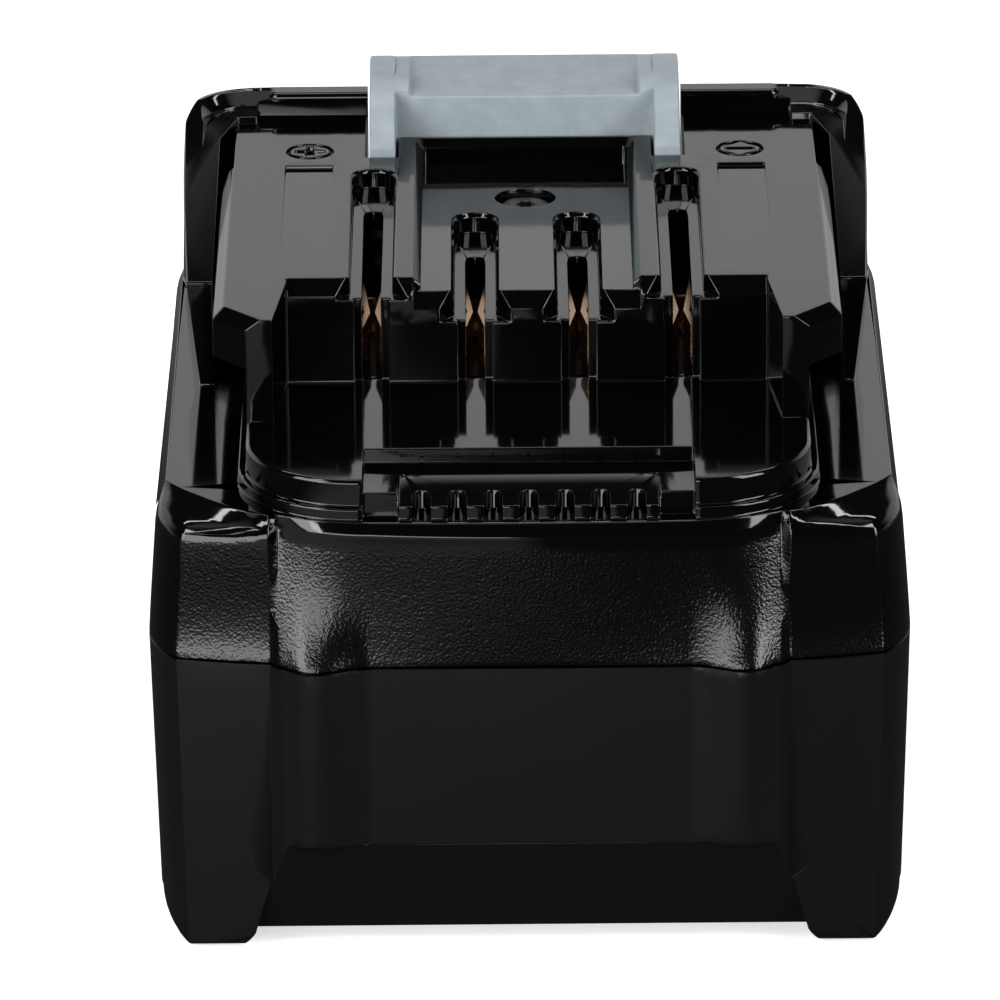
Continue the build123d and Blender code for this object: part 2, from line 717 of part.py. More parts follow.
def slot_cut(x):
    """One blade slot: stepped from above, and open through the terminal wall."""
    step = slot_top(x) - SLOT_STEP_DEPTH
    upper = prism(slot_plan(x, SLOT_WIDTH, WALL_FACE - OVERRUN, slot_rear(x)), step,
                  PLATFORM + OVERRUN)
    slit = prism(slot_plan(x, SLIT_WIDTH, WALL_FACE - OVERRUN, slot_rear(x) - SLIT_SET_BACK),
                 DECK, PLATFORM + OVERRUN)
    channel = block(x - SLOT_WALL_WIDTH / 2, x + SLOT_WALL_WIDTH / 2, WALL_FACE - OVERRUN,
                    WALL_FACE + SLOT_WALL_DEPTH, DECK, PLATFORM + OVERRUN)
    half = SLOT_WIDTH / 2
    flare = prism(outline([(x - half - SLOT_FLARE - OVERRUN, WALL_FACE - OVERRUN),
                           (x + half + SLOT_FLARE + OVERRUN, WALL_FACE - OVERRUN),
                           (x + half, WALL_FACE + WALL_CHAMFER + SLOT_FLARE),
                           (x - half, WALL_FACE + WALL_CHAMFER + SLOT_FLARE)]),
                  step, PLATFORM + OVERRUN)
    return upper + slit + channel + flare


def slot_rim(x):
    """Small bevel along the top edges of a slot."""
    rear = slot_rear(x)
    top = slot_top(x)
    front = WALL_FACE + WALL_CHAMFER
    wide = slot_plan(x, SLOT_WIDTH + 2 * SLOT_RIM, front, rear + SLOT_RIM)
    narrow = slot_plan(x, SLOT_WIDTH, front, rear)
    bevel = loft([Pos(0, 0, top - SLOT_RIM) * narrow, Pos(0, 0, top) * wide], ruled=True)
    return bevel + prism(wide, top, PLATFORM + OVERRUN)


def slot_hood(x):
    """Thicker roof around a slot, seen only from inside."""
    half = SLOT_WIDTH / 2 + SLOT_HOOD_WALL
    top = slot_top(x) - SKIN
    return block(x - half, x + half, WALL_FACE, slot_rear(x) + SLOT_HOOD_WALL,
                 top - SLOT_HOOD_DEPTH, top + SKIN / 4)


def tray_height(y):
    """Height of the tray floor, which falls towards the latch."""
    front = WALL_FACE + WALL_CHAMFER
    fall = (RECESS_REAR_DEPTH - RECESS_DEPTH) / (RECESS_REAR - RECESS_CHAMFER - front)
    return RECESS_FLOOR - (y - front) * fall


def recess_cut():
    """Shallow tray in the middle of the platform, with a chamfer round its top edge."""
    front = WALL_FACE - OVERRUN
    rear = RECESS_REAR - RECESS_CHAMFER
    half = RECESS_HALF - RECESS_CHAMFER
    tray = side_prism([(front, tray_height(front)), (rear, tray_height(rear)),
                       (rear, PLATFORM + OVERRUN), (front, PLATFORM + OVERRUN)], -half, half)
    corners = tray.edges().filter_by(Axis.Z)
    corners = corners.filter_by(lambda edge: edge.center().Y > CASE_DEPTH / 2)
    tray = fillet(corners, RECESS_CORNER / 2)
    low = rounded_face(half, front - WALL, rear, RECESS_CORNER / 2, RECESS_CORNER / 2)
    out = RECESS_CHAMFER + OVERRUN
    high = rounded_face(half + out, front - WALL, rear + out, RECESS_CORNER, RECESS_CORNER)
    bevel = loft([Pos(0, 0, PLATFORM - RECESS_CHAMFER) * low,
                  Pos(0, 0, PLATFORM + OVERRUN) * high], ruled=True)
    return tray + bevel


def panel_cut():
    """Sunken panel beside the outer slots, deep at its rear and flush at its front."""
    wedge = side_prism([(PANEL_FRONT, PLATFORM), (PANEL_REAR, PLATFORM - PANEL_DEPTH),
                        (PANEL_REAR, PLATFORM + OVERRUN), (PANEL_FRONT, PLATFORM + OVERRUN)],
                       PANEL_INNER, PANEL_OUTER)
    return both_sides(wedge)


def mark_cut():
    """Plus sign in a ring on the left and minus sign in a ring on the right."""
    radius = MARK_DIAMETER / 2
    low = PLATFORM - MARK_DEPTH
    ring = Circle(radius) - Circle(radius - MARK_STROKE / 2)
    bar = Rectangle(MARK_ARM, MARK_STROKE)
    upright = Rectangle(MARK_STROKE, MARK_ARM)
    plus = Pos(-MARK_X, MARK_Y) * (ring + bar + upright)
    minus = Pos(MARK_X, MARK_Y) * (ring + bar)
    return prism(plus, low, PLATFORM + OVERRUN) + prism(minus, low, PLATFORM + OVERRUN)


def fence_section(z, front_x, middle_x, half, rear, radius):
    """Plan of the right side fence and rear wall at one height."""
    inner_rear = PLATFORM_END
    bay = REAR_BLOCK_HALF + REAR_BLOCK_RADIUS
    corner = FENCE_INNER - FENCE_CORNER_ACROSS
    corner_y = inner_rear - FENCE_CORNER_ALONG
    middle = (FENCE_FRONT + CASE_DEPTH) / 2 - WALL
    far = CASE_DEPTH - REAR_CORNER_RADIUS - WALL
    reach = radius * math.cos(math.radians(45))
    centre = (half - radius, rear - radius)
    lines = [
        Line((FENCE_INNER, FENCE_FRONT), (front_x, FENCE_FRONT)),
        Spline((front_x, FENCE_FRONT), (middle_x, middle), (half, far)),
        Line((half, far), (half, centre[1])),
        ThreePointArc((half, centre[1]), (centre[0] + reach, centre[1] + reach),
                      (centre[0], rear)),
        Line((centre[0], rear), (0, rear)),
        Line((0, rear), (0, REAR_BLOCK_FRONT)),
        Line((0, REAR_BLOCK_FRONT), (bay, REAR_BLOCK_FRONT)),
        Line((bay, REAR_BLOCK_FRONT), (bay, inner_rear)),
        Line((bay, inner_rear), (corner, inner_rear)),
        Line((corner, inner_rear), (FENCE_INNER, corner_y)),
        Line((FENCE_INNER, corner_y), (FENCE_INNER, FENCE_FRONT)),
    ]
    return Pos(0, 0, z) * make_face(lines)


def fence_half():
    """Side fence and rear wall of the right half, leaning in at the corner."""
    foot = fence_section(LEDGE - SKIN, FENCE_INNER + FENCE_FOOT_FRONT,
                         FENCE_INNER + FENCE_FOOT_MIDDLE, CASE_HALF - LEDGE_INSET,
                         CASE_DEPTH - REAR_DRAFT, FENCE_FOOT_RADIUS)
    top = fence_section(FENCE_TOP, FENCE_TOP_HALF - WALL / 4, FENCE_TOP_HALF, FENCE_TOP_HALF,
                        CASE_DEPTH - FENCE_TOP_REAR_IN, FENCE_TOP_RADIUS)
    crest_half = CASE_HALF - CREST_IN
    crest = fence_section(REAR_TOP, crest_half - WALL / 4, crest_half, crest_half,
                          CASE_DEPTH - CREST_REAR_IN, CREST_RADIUS)
    solid = loft([foot, top, crest], ruled=True)
    return solid - fence_slope() - fence_basin()


def fence_height(y):
    """Height of the sloping top of the fence at a depth."""
    rise = (FENCE_END_LIFT + FENCE_FRONT_DROP) / (PLATFORM_REAR - FENCE_FRONT)
    return PLATFORM + FENCE_END_LIFT - (PLATFORM_REAR - y) * rise


def fence_slope():
    """What is cut away above the fence, ahead of the crest on the rear wall."""
    front = FENCE_FRONT - OVERRUN
    above = REAR_TOP + OVERRUN
    return side_prism([(front, fence_height(front)), (CREST_START, fence_height(CREST_START)),
                       (CREST_END, REAR_TOP), (CREST_END, above), (front, above)],
                      -OVERRUN, CASE_HALF)


def fence_basin():
    """Hollow inside the crest, whose floor goes on with the slope of the fence."""
    half = CASE_HALF - CREST_IN - BASIN_LOW_IN
    rear = CASE_DEPTH - CREST_REAR_IN - BASIN_REAR_IN
    low_radius = CREST_RADIUS - BASIN_LOW_IN
    low = rounded_face(half, FENCE_FRONT - OVERRUN, rear, low_radius, low_radius)
    high = rounded_face(half + BASIN_SIDE_OUT, FENCE_FRONT - OVERRUN, rear + BASIN_REAR_OUT,
                        CREST_RADIUS, CREST_RADIUS)
    bowl = loft([Pos(0, 0, FENCE_TOP - REAR_BLOCK_LIFT) * low,
                 Pos(0, 0, FENCE_TOP) * low, Pos(0, 0, REAR_TOP + WALL / 4) * high], ruled=True)
    front = FENCE_FRONT - OVERRUN
    above = REAR_TOP + OVERRUN
    air = side_prism([(front, fence_height(front)), (CASE_DEPTH, fence_height(CASE_DEPTH)),
                      (CASE_DEPTH, above), (front, above)], -CASE_HALF, CASE_HALF)
    return bowl & air


def rear_block():
    """Raised block on the rear wall, on both sides of the latch."""
    rear = CASE_DEPTH - REAR_BLOCK_REAR_IN
    solid = block(-REAR_BLOCK_HALF, REAR_BLOCK_HALF, REAR_BLOCK_FRONT, rear, DECK, REAR_TOP)
    upright = solid.edges().filter_by(Axis.Z)
    solid = fillet(upright, REAR_BLOCK_RADIUS)
    top = solid.edges().filter_by(lambda edge: edge.center().Z > REAR_TOP - REAR_BLOCK_RADIUS / 2)
    return fillet(top, REAR_BLOCK_RADIUS / 2)


def latch_opening():
    """U-shaped opening for the hook, running down the rear face for the button."""
    half = LATCH_HALF + LATCH_CLEARANCE
    front = LATCH_FRONT - LATCH_CLEARANCE
    behind = CASE_DEPTH - REAR_DRAFT - APRON_THICKNESS
    main = block(-half, half, front, behind, CHAMBER_TOP, REAR_TOP + OVERRUN)
    window = block(-half, half, front, CASE_DEPTH + OVERRUN, apron_top(), REAR_TOP + OVERRUN)
    leg_in = LATCH_HALF - LEG_WIDTH - LATCH_CLEARANCE
    leg = block(leg_in, half, LEG_FRONT - LATCH_CLEARANCE, behind, CHAMBER_TOP,
                REAR_TOP + OVERRUN)
    foot_half = LATCH_HALF + LATCH_FOOT_OUT + LATCH_CLEARANCE
    foot_top = LATCH_BOTTOM + LATCH_FOOT_HEIGHT + LATCH_CLEARANCE
    feet = block(-foot_half, foot_half, front, foot_rear() + LATCH_CLEARANCE, CHAMBER_TOP, foot_top)
    swell = block(-half, half, SWELL_FRONT - LATCH_CLEARANCE, front + LATCH_CLEARANCE, CHAMBER_TOP,
                  swell_top() + LATCH_CLEARANCE)
    return main + window + both_sides(leg) + feet + swell


def rear_apron():
    """Thin wall that hides the latch skirt and closes the rear face below the button."""
    half = LATCH_HALF + LATCH_CLEARANCE + WALL
    rear = CASE_DEPTH - REAR_DRAFT
    upper = block(-half, half, rear - APRON_THICKNESS, rear, CEILING - SKIN, apron_top())
    return upper


def apron_top():
    """Height of the sill below the thumb button."""
    return LATCH_BOTTOM + APRON_LIFT


def latch_chamber():
    """Floor, side walls and front wall that guide the latch inside the case."""
    half = LATCH_HALF + LATCH_FOOT_OUT + LATCH_CLEARANCE + CHAMBER_WALL
    front = CHAMBER_FRONT
    back = CASE_DEPTH - WALL
    floor = block(-half, half, front, CAVITY_REAR, CHAMBER_BOTTOM, CHAMBER_TOP)
    sides = block(half - CHAMBER_WALL, half, front, back, CHAMBER_BOTTOM, PLATFORM - SKIN)
    guide = block(LATCH_HALF + LATCH_CLEARANCE, half, front, back, DECK + SKIN, PLATFORM - SKIN)
    wall_half = LATCH_HALF - LEG_WIDTH - LATCH_CLEARANCE
    wall = block(-wall_half, wall_half, front, front + CHAMBER_WALL, CHAMBER_BOTTOM,
                 PLATFORM - SKIN)
    return floor + both_sides(sides + guide) + wall


def spring_posts():
    """Pegs on the chamber floor that hold the springs."""
    peg = rod(SPRING_X, spring_y(), SPRING_POST_RADIUS, CHAMBER_TOP - CHAMBER_FLOOR / 2,
              CHAMBER_TOP + SPRING_POST_HEIGHT)
    return both_sides(peg)


def spring_y():
    """Middle of the hollow in the lower half of the latch, front to rear."""
    return (SWELL_FRONT + SWELL_WALL + latch_skirt_rear() - LATCH_WALL) / 2


def upper_cavity():
    """Hollow under the ledge, the deck and the platform."""
    straight = PARTING + RIM_HEIGHT + RIM_CLEARANCE
    skirt = inner_skin(PARTING - OVERRUN, straight, 0)
    skirt = skirt + inner_skin(straight, CEILING, CAVITY_TOP_INSET)
    inner_half = DECK_HALF - SKIN
    deck = prism(rounded_face(inner_half, DECK_FRONT + SKIN, WALL_FACE + SKIN + OVERRUN,
                              DECK_CORNER_RADIUS - SKIN, WALL / 2), CEILING - SKIN, DECK - SKIN)
    niche = block(-NICHE_HALF - SKIN, NICHE_HALF + SKIN, 0, NICHE_REAR + SKIN, CEILING,
                  DECK + OVERRUN)
    rear_half = LATCH_HALF + LATCH_FOOT_OUT + LATCH_CLEARANCE + CHAMBER_WALL
    hall = block(-inner_half, inner_half, WALL_FACE + SKIN, CHAMBER_FRONT, CEILING - SKIN,
                 PLATFORM - SKIN)
    aisle = block(rear_half, inner_half, CHAMBER_FRONT - OVERRUN, CAVITY_REAR, CEILING - SKIN,
                  PLATFORM - SKIN)
    under_tray = side_prism([(WALL_FACE + SKIN, tray_height(WALL_FACE + SKIN) - SKIN),
                             (CHAMBER_FRONT, tray_height(CHAMBER_FRONT) - SKIN),
                             (CHAMBER_FRONT, PLATFORM), (WALL_FACE + SKIN, PLATFORM)],
                            -RECESS_HALF - SKIN, RECESS_HALF + SKIN)
    return skirt + (deck - niche) + (hall - under_tray) + both_sides(aisle)


def cover_boss():
    """Boss under the tray that takes the cover screw."""
    radius = SCREW_HOLE_DIAMETER / 2 + CHAMBER_WALL
    low = RECESS_FLOOR - COVER_SEAT_DEPTH - COVER_SEAT_THICKNESS
    return rod(0, COVER_SCREW_Y, radius, low, RECESS_FLOOR - SKIN / 2)


def cover_hole():
    """Well and through hole for the cover screw."""
    seat = RECESS_FLOOR - COVER_SEAT_DEPTH
    well = rod(0, COVER_SCREW_Y, SCREW_HOLE_DIAMETER / 2, seat, PLATFORM + OVERRUN)
    through = rod(0, COVER_SCREW_Y, COVER_SCREW_SHANK + SCREW_FIT, seat - COVER_SEAT_THICKNESS
                  - OVERRUN, seat + OVERRUN)
    return well + through


def upper_case():
    """Upper shell: front, ledge, deck, platform with rails and slots, fence and rear."""
    body = upper_skin() + deck_solid() + both_sides(fence_half()) + platform_solid() + rear_block()
    body = body - niche_cut() + flute_block()
    body = body - upper_cavity()
    body = body + latch_chamber() + cover_boss() + rear_apron()
    for x in SLOT_XS:
        body = body + slot_hood(x)
    body = body - latch_opening() - wall_chamfer() - recess_cut() - panel_cut() - mark_cut()
    for x in SLOT_XS:
        body = body - slot_cut(x) - slot_rim(x)
    return body - cover_hole() + spring_posts()


# Latch


def latch():
    """Hook, legs and thumb button in one moulding, hollow under its roof."""
    front = LATCH_FRONT
    rear = LATCH_REAR
    skirt_rear = latch_skirt_rear()
    face_top = PLATFORM + LATCH_FACE_LIFT
    hook = side_prism([(front, LATCH_BOTTOM), (skirt_rear, LATCH_BOTTOM), (skirt_rear, shelf_low()),
                       (rear, shelf_low() + THUMB_SHELF_RISE), (rear, LATCH_TOP),
                       (front, face_top)], -LATCH_HALF, LATCH_HALF)
    body = hook + both_sides(latch_leg())
    dip = side_prism([(front - OVERRUN, face_top), (front, face_top), (rear, LATCH_TOP),
                      (rear + OVERRUN, LATCH_TOP), (rear + OVERRUN, LATCH_TOP + OVERRUN),
                      (front - OVERRUN, LATCH_TOP + OVERRUN)],
                     LEG_WIDE - LATCH_HALF, LATCH_HALF - LEG_WIDE)
    body = body - dip
    foot = block(LATCH_HALF - LATCH_WALL, LATCH_HALF + LATCH_FOOT_OUT, front + LATCH_CLEARANCE,
                 foot_rear(), LATCH_BOTTOM, LATCH_BOTTOM + LATCH_FOOT_HEIGHT)
    swell = block(-LATCH_HALF, LATCH_HALF, SWELL_FRONT, front + LATCH_WALL, LATCH_BOTTOM,
                  swell_top())
    body = body + both_sides(foot) + swell - latch_hollow()
    return body - thumb_hollow() + grip_ribs()


def latch_leg():
    """Right leg with its crowned top, and the wider pad behind it."""
    low = PLATFORM - LEG_BELOW
    tip = PLATFORM + LEG_FRONT_LIFT
    crown_y = (LEG_FRONT + LATCH_REAR) / 2
    crown_z = sized(tip, LATCH_TOP, LEG_CROWN_SHARE)
    edges = [
        Line((LEG_FRONT, low), (LATCH_FRONT + LATCH_WALL, low)),
        Line((LATCH_FRONT + LATCH_WALL, low), (LATCH_REAR, PLATFORM)),
        Line((LATCH_REAR, PLATFORM), (LATCH_REAR, LATCH_TOP)),
        ThreePointArc((LATCH_REAR, LATCH_TOP), (crown_y, crown_z), (LEG_FRONT, tip)),
        Line((LEG_FRONT, tip), (LEG_FRONT, low)),
    ]
    profile = make_face(edges)
    narrow = extrude(Plane.YZ.offset(LATCH_HALF - LEG_WIDTH) * profile, LEG_WIDTH)
    wide = extrude(Plane.YZ.offset(LATCH_HALF - LEG_WIDE) * profile, LEG_WIDE)
    behind = block(0, LATCH_HALF, LATCH_FRONT, LATCH_REAR, low, LATCH_TOP)
    return narrow + (wide & behind)


def latch_hollow():
    """Room for the springs, and above it the core between their seats."""
    half = LATCH_HALF - LATCH_WALL
    rear = latch_skirt_rear() - LATCH_WALL
    room = block(-half, half, SWELL_FRONT + SWELL_WALL, rear, LATCH_BOTTOM - OVERRUN, spring_top())
    core_half = SPRING_X - SPRING_RADIUS - LATCH_WALL
    core = block(-core_half, core_half, LATCH_FRONT + LATCH_WALL, rear,
                 spring_top() - OVERRUN, PLATFORM)
    return room + core


def foot_rear():
    """Rear end of the feet that stop the latch under the guides."""
    return LATCH_FRONT + LATCH_FOOT_DEPTH


def swell_top():
    """Top of the thicker lower half of the latch, which stays inside the case."""
    return spring_top() + LATCH_WALL


def latch_skirt_rear():
    """Rear face of the latch where it slides behind the apron."""
    return CASE_DEPTH - LATCH_SKIRT_IN


def shelf_low():
    """Underside of the thumb shelf, clear of the apron when the latch is down."""
    return apron_top() + LATCH_TRAVEL + LATCH_CLEARANCE


def spring_top():
    """Underside of the seats in the latch, where the springs press."""
    return LATCH_BOTTOM + LATCH_SKIRT


def thumb_hollow():
    """Scooped thumb face under the shelf."""
    half = LATCH_HALF - LATCH_WALL
    radius = THUMB_HEIGHT ** 2 / 8 / THUMB_DEPTH + THUMB_DEPTH / 2
    barrel = Rot(0, 90, 0) * Cylinder(radius, 2 * half)
    middle = shelf_low() - THUMB_HEIGHT / 2 + THUMB_SHELF_RISE
    return Pos(0, latch_skirt_rear() - THUMB_DEPTH + radius, middle) * barrel


def grip_ribs():
    """Raised grip lines on the rear face of the thumb shelf."""
    half = LATCH_HALF - 2 * LATCH_WALL
    ribs = None
    room = LATCH_TOP - GRIP_RIB_WIDTH - shelf_low() - THUMB_SHELF_RISE
    first = shelf_low() + THUMB_SHELF_RISE + (room - (GRIP_RIB_COUNT - 1) * GRIP_RIB_PITCH) / 2
    for index in range(GRIP_RIB_COUNT):
        z = first + index * GRIP_RIB_PITCH
        rib = block(-half, half, LATCH_REAR - LATCH_WALL / 2, LATCH_REAR + GRIP_RIB_HEIGHT,
                    z - GRIP_RIB_WIDTH / 2, z + GRIP_RIB_WIDTH / 2)
        ribs = rib if ribs is None else ribs + rib
    return ribs


# Springs


def helix_point(angle, pitch):
    """Place and direction on a helix of the spring's radius."""
    rise = pitch / (2 * math.pi)
    place = Vector(SPRING_RADIUS * math.cos(angle), SPRING_RADIUS * math.sin(angle), rise * angle)
    heading = Vector(-SPRING_RADIUS * math.sin(angle), SPRING_RADIUS * math.cos(angle), rise)
    return place, heading.normalized()


def biarc(start, start_heading, end, end_heading):
    """Two arcs that join tangentially between two places on a curve."""
    chord = end - start
    headings = start_heading + end_heading
    a = 2 * (1 - start_heading.dot(end_heading))
    b = 2 * chord.dot(headings)
    c = -chord.dot(chord)
    reach = (-b + math.sqrt(b * b - 4 * a * c)) / (2 * a)
    first = start + start_heading * reach
    second = end - end_heading * reach
    joint = (first + second) / 2
    heading = (second - first).normalized()
    return [TangentArc(start, joint, tangent=start_heading),
            TangentArc(joint, end, tangent=heading)]


def coil(height):
    """Spring standing on z = 0, swept along quarter turns."""
    pitch = (height - SPRING_WIRE) / SPRING_TURNS
    steps = SPRING_TURNS * 4
    edges = []
    for index in range(steps):
        start, start_heading = helix_point(index * math.pi / 2, pitch)
        end, end_heading = helix_point((index + 1) * math.pi / 2, pitch)
        edges = edges + biarc(start, start_heading, end, end_heading)
    path = Wire(edges)
    section = Plane(origin=path @ 0, z_dir=path % 0) * Circle(SPRING_WIRE / 2)
    print("spring gap between turns", round(pitch - SPRING_WIRE, 3))
    return Pos(0, 0, SPRING_WIRE / 2) * sweep(section, path=path)


def latch_springs():
    """Two compression springs between the chamber floor and the latch roof."""
    height = spring_top() - CHAMBER_TOP
    spring = coil(height)
    return [Pos(side * SPRING_X, spring_y(), CHAMBER_TOP) * spring for side in (-1, 1)]


# Screws


def screw(x, y, seat, shank, head, head_height, length, downward):
    """Pan-head screw with a six-lobe drive, its head resting on z = seat."""
    top = head_height * downward
    low, high = sorted((seat, seat + top))
    body = rod(x, y, head, low, high)
    rim = body.edges().filter_by(GeomType.CIRCLE).sort_by(Axis.Z)
    outer = rim[-1] if downward > 0 else rim[0]
    body = fillet(outer, head_height / 3)
    shank_low, shank_high = sorted((seat, seat - length * downward))
    body = body + rod(x, y, shank, shank_low, shank_high)
    face = seat + top
    drive_low, drive_high = sorted((face - DRIVE_DEPTH * downward, face + OVERRUN * downward))
    lobes = rod(x, y, DRIVE_RADIUS * DRIVE_CORE_SHARE, drive_low, drive_high)
    for index in range(DRIVE_LOBES):
        angle = index * 2 * math.pi / DRIVE_LOBES
        lobe_x = x + DRIVE_RADIUS * DRIVE_LOBE_PLACE_SHARE * math.cos(angle)
        lobe_y = y + DRIVE_RADIUS * DRIVE_LOBE_PLACE_SHARE * math.sin(angle)
        lobes = lobes + rod(lobe_x, lobe_y, DRIVE_RADIUS * DRIVE_LOBE_SHARE, drive_low, drive_high)
    return body - lobes


def case_screws():
    """Four screws driven up through the skids into the cell holders."""
    return [screw(x, y, CASE_SCREW_SEAT, CASE_SCREW_SHANK, CASE_SCREW_HEAD,
                  CASE_SCREW_HEAD_HEIGHT, CASE_SCREW_LENGTH, -1) for x, y in case_screw_places()]


def cover_screw():
    """Screw in the tray of the platform."""
    return screw(0, COVER_SCREW_Y, RECESS_FLOOR - COVER_SEAT_DEPTH, COVER_SCREW_SHANK,
                 COVER_SCREW_HEAD, COVER_SCREW_HEAD_HEIGHT, COVER_SCREW_LENGTH, 1)


def board_screw_places():
    """Places over the spaces between cell rows where the board is screwed down."""
    return [(side * BOARD_SCREW_X, y) for side in (-1, 1) for y in row_gaps()]


def board_screws():
    """Four screws that hold the board on the cell holders."""
    return [screw(x, y, BOARD_TOP, BOARD_SCREW_SHANK, BOARD_SCREW_HEAD, BOARD_SCREW_HEAD_HEIGHT,
                  BOARD_SCREW_LENGTH, 1) for x, y in board_screw_places()]


# Cells, holders and strips


def row_y(row):
    """Middle of a cell row."""
    return CELL_FIRST + row * CELL_PITCH


def cell(row, axis_z, nub_side):
    """One round cell lying along X, its raised terminal on nub_side."""
    can_end = CELL_HALF - CELL_NUB_HEIGHT
    groove = can_end - CELL_GROOVE_SET_BACK
    inner = CELL_RADIUS - CELL_GROOVE_DEPTH
    nub = CELL_NUB_DIAMETER / 2
    profile = outline([(0, -CELL_HALF), (CELL_RADIUS, -CELL_HALF), (CELL_RADIUS, groove),
                       (inner, groove + CELL_GROOVE_WIDTH / 2),
                       (CELL_RADIUS, groove + CELL_GROOVE_WIDTH), (CELL_RADIUS, can_end),
                       (nub, can_end), (nub, CELL_HALF), (0, CELL_HALF)])
    solid = revolve(Plane.XZ * profile, axis=Axis.Z)
    return Pos(0, row_y(row), axis_z) * Rot(0, 90 * nub_side, 0) * solid


def nub_direction(row):
    """Neighbouring rows face opposite ways so that they connect in series."""
    return 1 if row % 2 else -1


def cell_holder(side):
    """Comb that grips the ends of all the cells on one side."""
    low = CELL_HALF - HOLDER_LENGTH
    y_low = CELL_FIRST - CELL_RADIUS - END_ROOM + HOLDER_SIDE_GAP
    y_high = CAVITY_REAR - HOLDER_SIDE_GAP
    body = block(low, CELL_HALF, y_low, y_high, FLOOR_TOP, HOLDER_TOP)
    upright = body.edges().filter_by(Axis.Z)
    body = fillet(upright.filter_by(lambda edge: edge.center().X > low + WALL), HOLDER_CORNER_RADIUS)
    rim_inner = FRONT_WALL + RIM_THICKNESS + 2 * RIM_CLEARANCE
    rim_rear = CASE_DEPTH - REAR_WALL - RIM_THICKNESS - 2 * RIM_CLEARANCE
    rim_low = PARTING - RIM_HEIGHT - RIM_CLEARANCE
    rim_high = PARTING + RIM_HEIGHT + RIM_CLEARANCE
    body = body - block(0, CASE_HALF, 0, rim_inner, rim_low, rim_high)
    body = body - block(0, CASE_HALF, rim_rear, CASE_DEPTH, rim_low, rim_high)
    for x, y in board_screw_places():
        if x > 0:
            body = body + rod(x, y, BOARD_SCREW_HEAD, HOLDER_TOP - WALL / 2, BOARD_BOTTOM)
    for row in range(CELL_ROWS):
        for axis_z in (LOWER_AXIS, UPPER_AXIS):
            bore = Pos(CELL_HALF, row_y(row), axis_z) * Rot(0, 90, 0) * Cylinder(
                CELL_RADIUS + HOLDER_FIT, 3 * HOLDER_LENGTH)
            body = body - bore
    for x, y in board_screw_places():
        if x > 0:
            body = body - rod(x, y, BOARD_SCREW_SHANK + SCREW_FIT,
                              BOARD_TOP - BOARD_SCREW_LENGTH - SCREW_FIT, BOARD_TOP)
    for x, y in case_screw_places():
        if x > 0:
            body = body - rod(x, y, CASE_SCREW_SHANK + SCREW_FIT, FLOOR_TOP - OVERRUN,
                              CASE_SCREW_SEAT + CASE_SCREW_LENGTH + SCREW_FIT)
    return body if side > 0 else mirror(body, about=Plane.YZ)


def strip(rows, side, tab):
    """Flat strip welded across cell ends, with a tab up to the board where it has one."""
    inner = CELL_HALF
    outer = CELL_HALF + STRIP_THICKNESS
    half = STRIP_WIDTH / 2
    body = None
    for row in rows:
        y = row_y(row)
        piece = block(inner, outer, y - half, y + half, LOWER_AXIS - half, UPPER_AXIS + half)
        body = piece if body is None else body + piece
    if len(rows) > 1:
        middle = (LOWER_AXIS + UPPER_AXIS) / 2
        body = body + block(inner, outer, row_y(rows[0]), row_y(rows[-1]), middle - half,
                            middle + half)
    if tab:
        y = row_y(rows[0])
        wide = STRIP_TAB_WIDTH / 2
        body = body + block(inner, outer, y - wide, y + wide, UPPER_AXIS, BOARD_BOTTOM)
        body = body + block(outer - STRIP_TAB_REACH, outer, y - wide, y + wide,
                            BOARD_BOTTOM - STRIP_THICKNESS, BOARD_BOTTOM)
    return body if side > 0 else mirror(body, about=Plane.YZ)


# Circuit board, components and terminals


def circuit_board():
    """Board with its screw holes and a hole for the sensor leads."""
    body = block(-BOARD_HALF, BOARD_HALF, BOARD_FRONT, BOARD_REAR, BOARD_BOTTOM, BOARD_TOP)
    upright = body.edges().filter_by(Axis.Z)
    body = fillet(upright, BOARD_CORNER_RADIUS)
    for x, y in board_screw_places():
        body = body - rod(x, y, BOARD_SCREW_SHANK + SCREW_FIT, BOARD_BOTTOM - OVERRUN,
                          BOARD_TOP + OVERRUN)
    return body


def microcontroller():
    """Square chip with legs on two sides."""
    half = CHIP_SIDE / 2
    body = block(CHIP_X - half, CHIP_X + half, CHIP_Y - half, CHIP_Y + half,
                 BOARD_TOP, BOARD_TOP + CHIP_HEIGHT)
    first = CHIP_X - (CHIP_LEG_COUNT - 1) / 2 * CHIP_LEG_PITCH
    for index in range(CHIP_LEG_COUNT):
        x = first + index * CHIP_LEG_PITCH
        body = body + block(x - CHIP_LEG_WIDTH / 2, x + CHIP_LEG_WIDTH / 2,
                            CHIP_Y - half - CHIP_LEG_LENGTH, CHIP_Y + half + CHIP_LEG_LENGTH,
                            BOARD_TOP, BOARD_TOP + CHIP_LEG_WIDTH)
    return body


def power_transistors():
    """Flat transistors side by side."""
    parts = []
    for index in range(TRANSISTOR_COUNT):
        x = TRANSISTOR_X + index * (TRANSISTOR_LENGTH + WALL)
        parts.append(block(x - TRANSISTOR_LENGTH / 2, x + TRANSISTOR_LENGTH / 2,
                           TRANSISTOR_Y - TRANSISTOR_WIDTH / 2, TRANSISTOR_Y + TRANSISTOR_WIDTH / 2,
                           BOARD_TOP, BOARD_TOP + TRANSISTOR_HEIGHT))
    return parts


def capacitors():
    """Round can capacitors."""
    first = CHIP_Y - (CAPACITOR_COUNT - 1) / 2 * CAPACITOR_PITCH
    return [rod(CAPACITOR_X, first + index * CAPACITOR_PITCH, CAPACITOR_RADIUS, BOARD_TOP,
                BOARD_TOP + CAPACITOR_HEIGHT) for index in range(CAPACITOR_COUNT)]


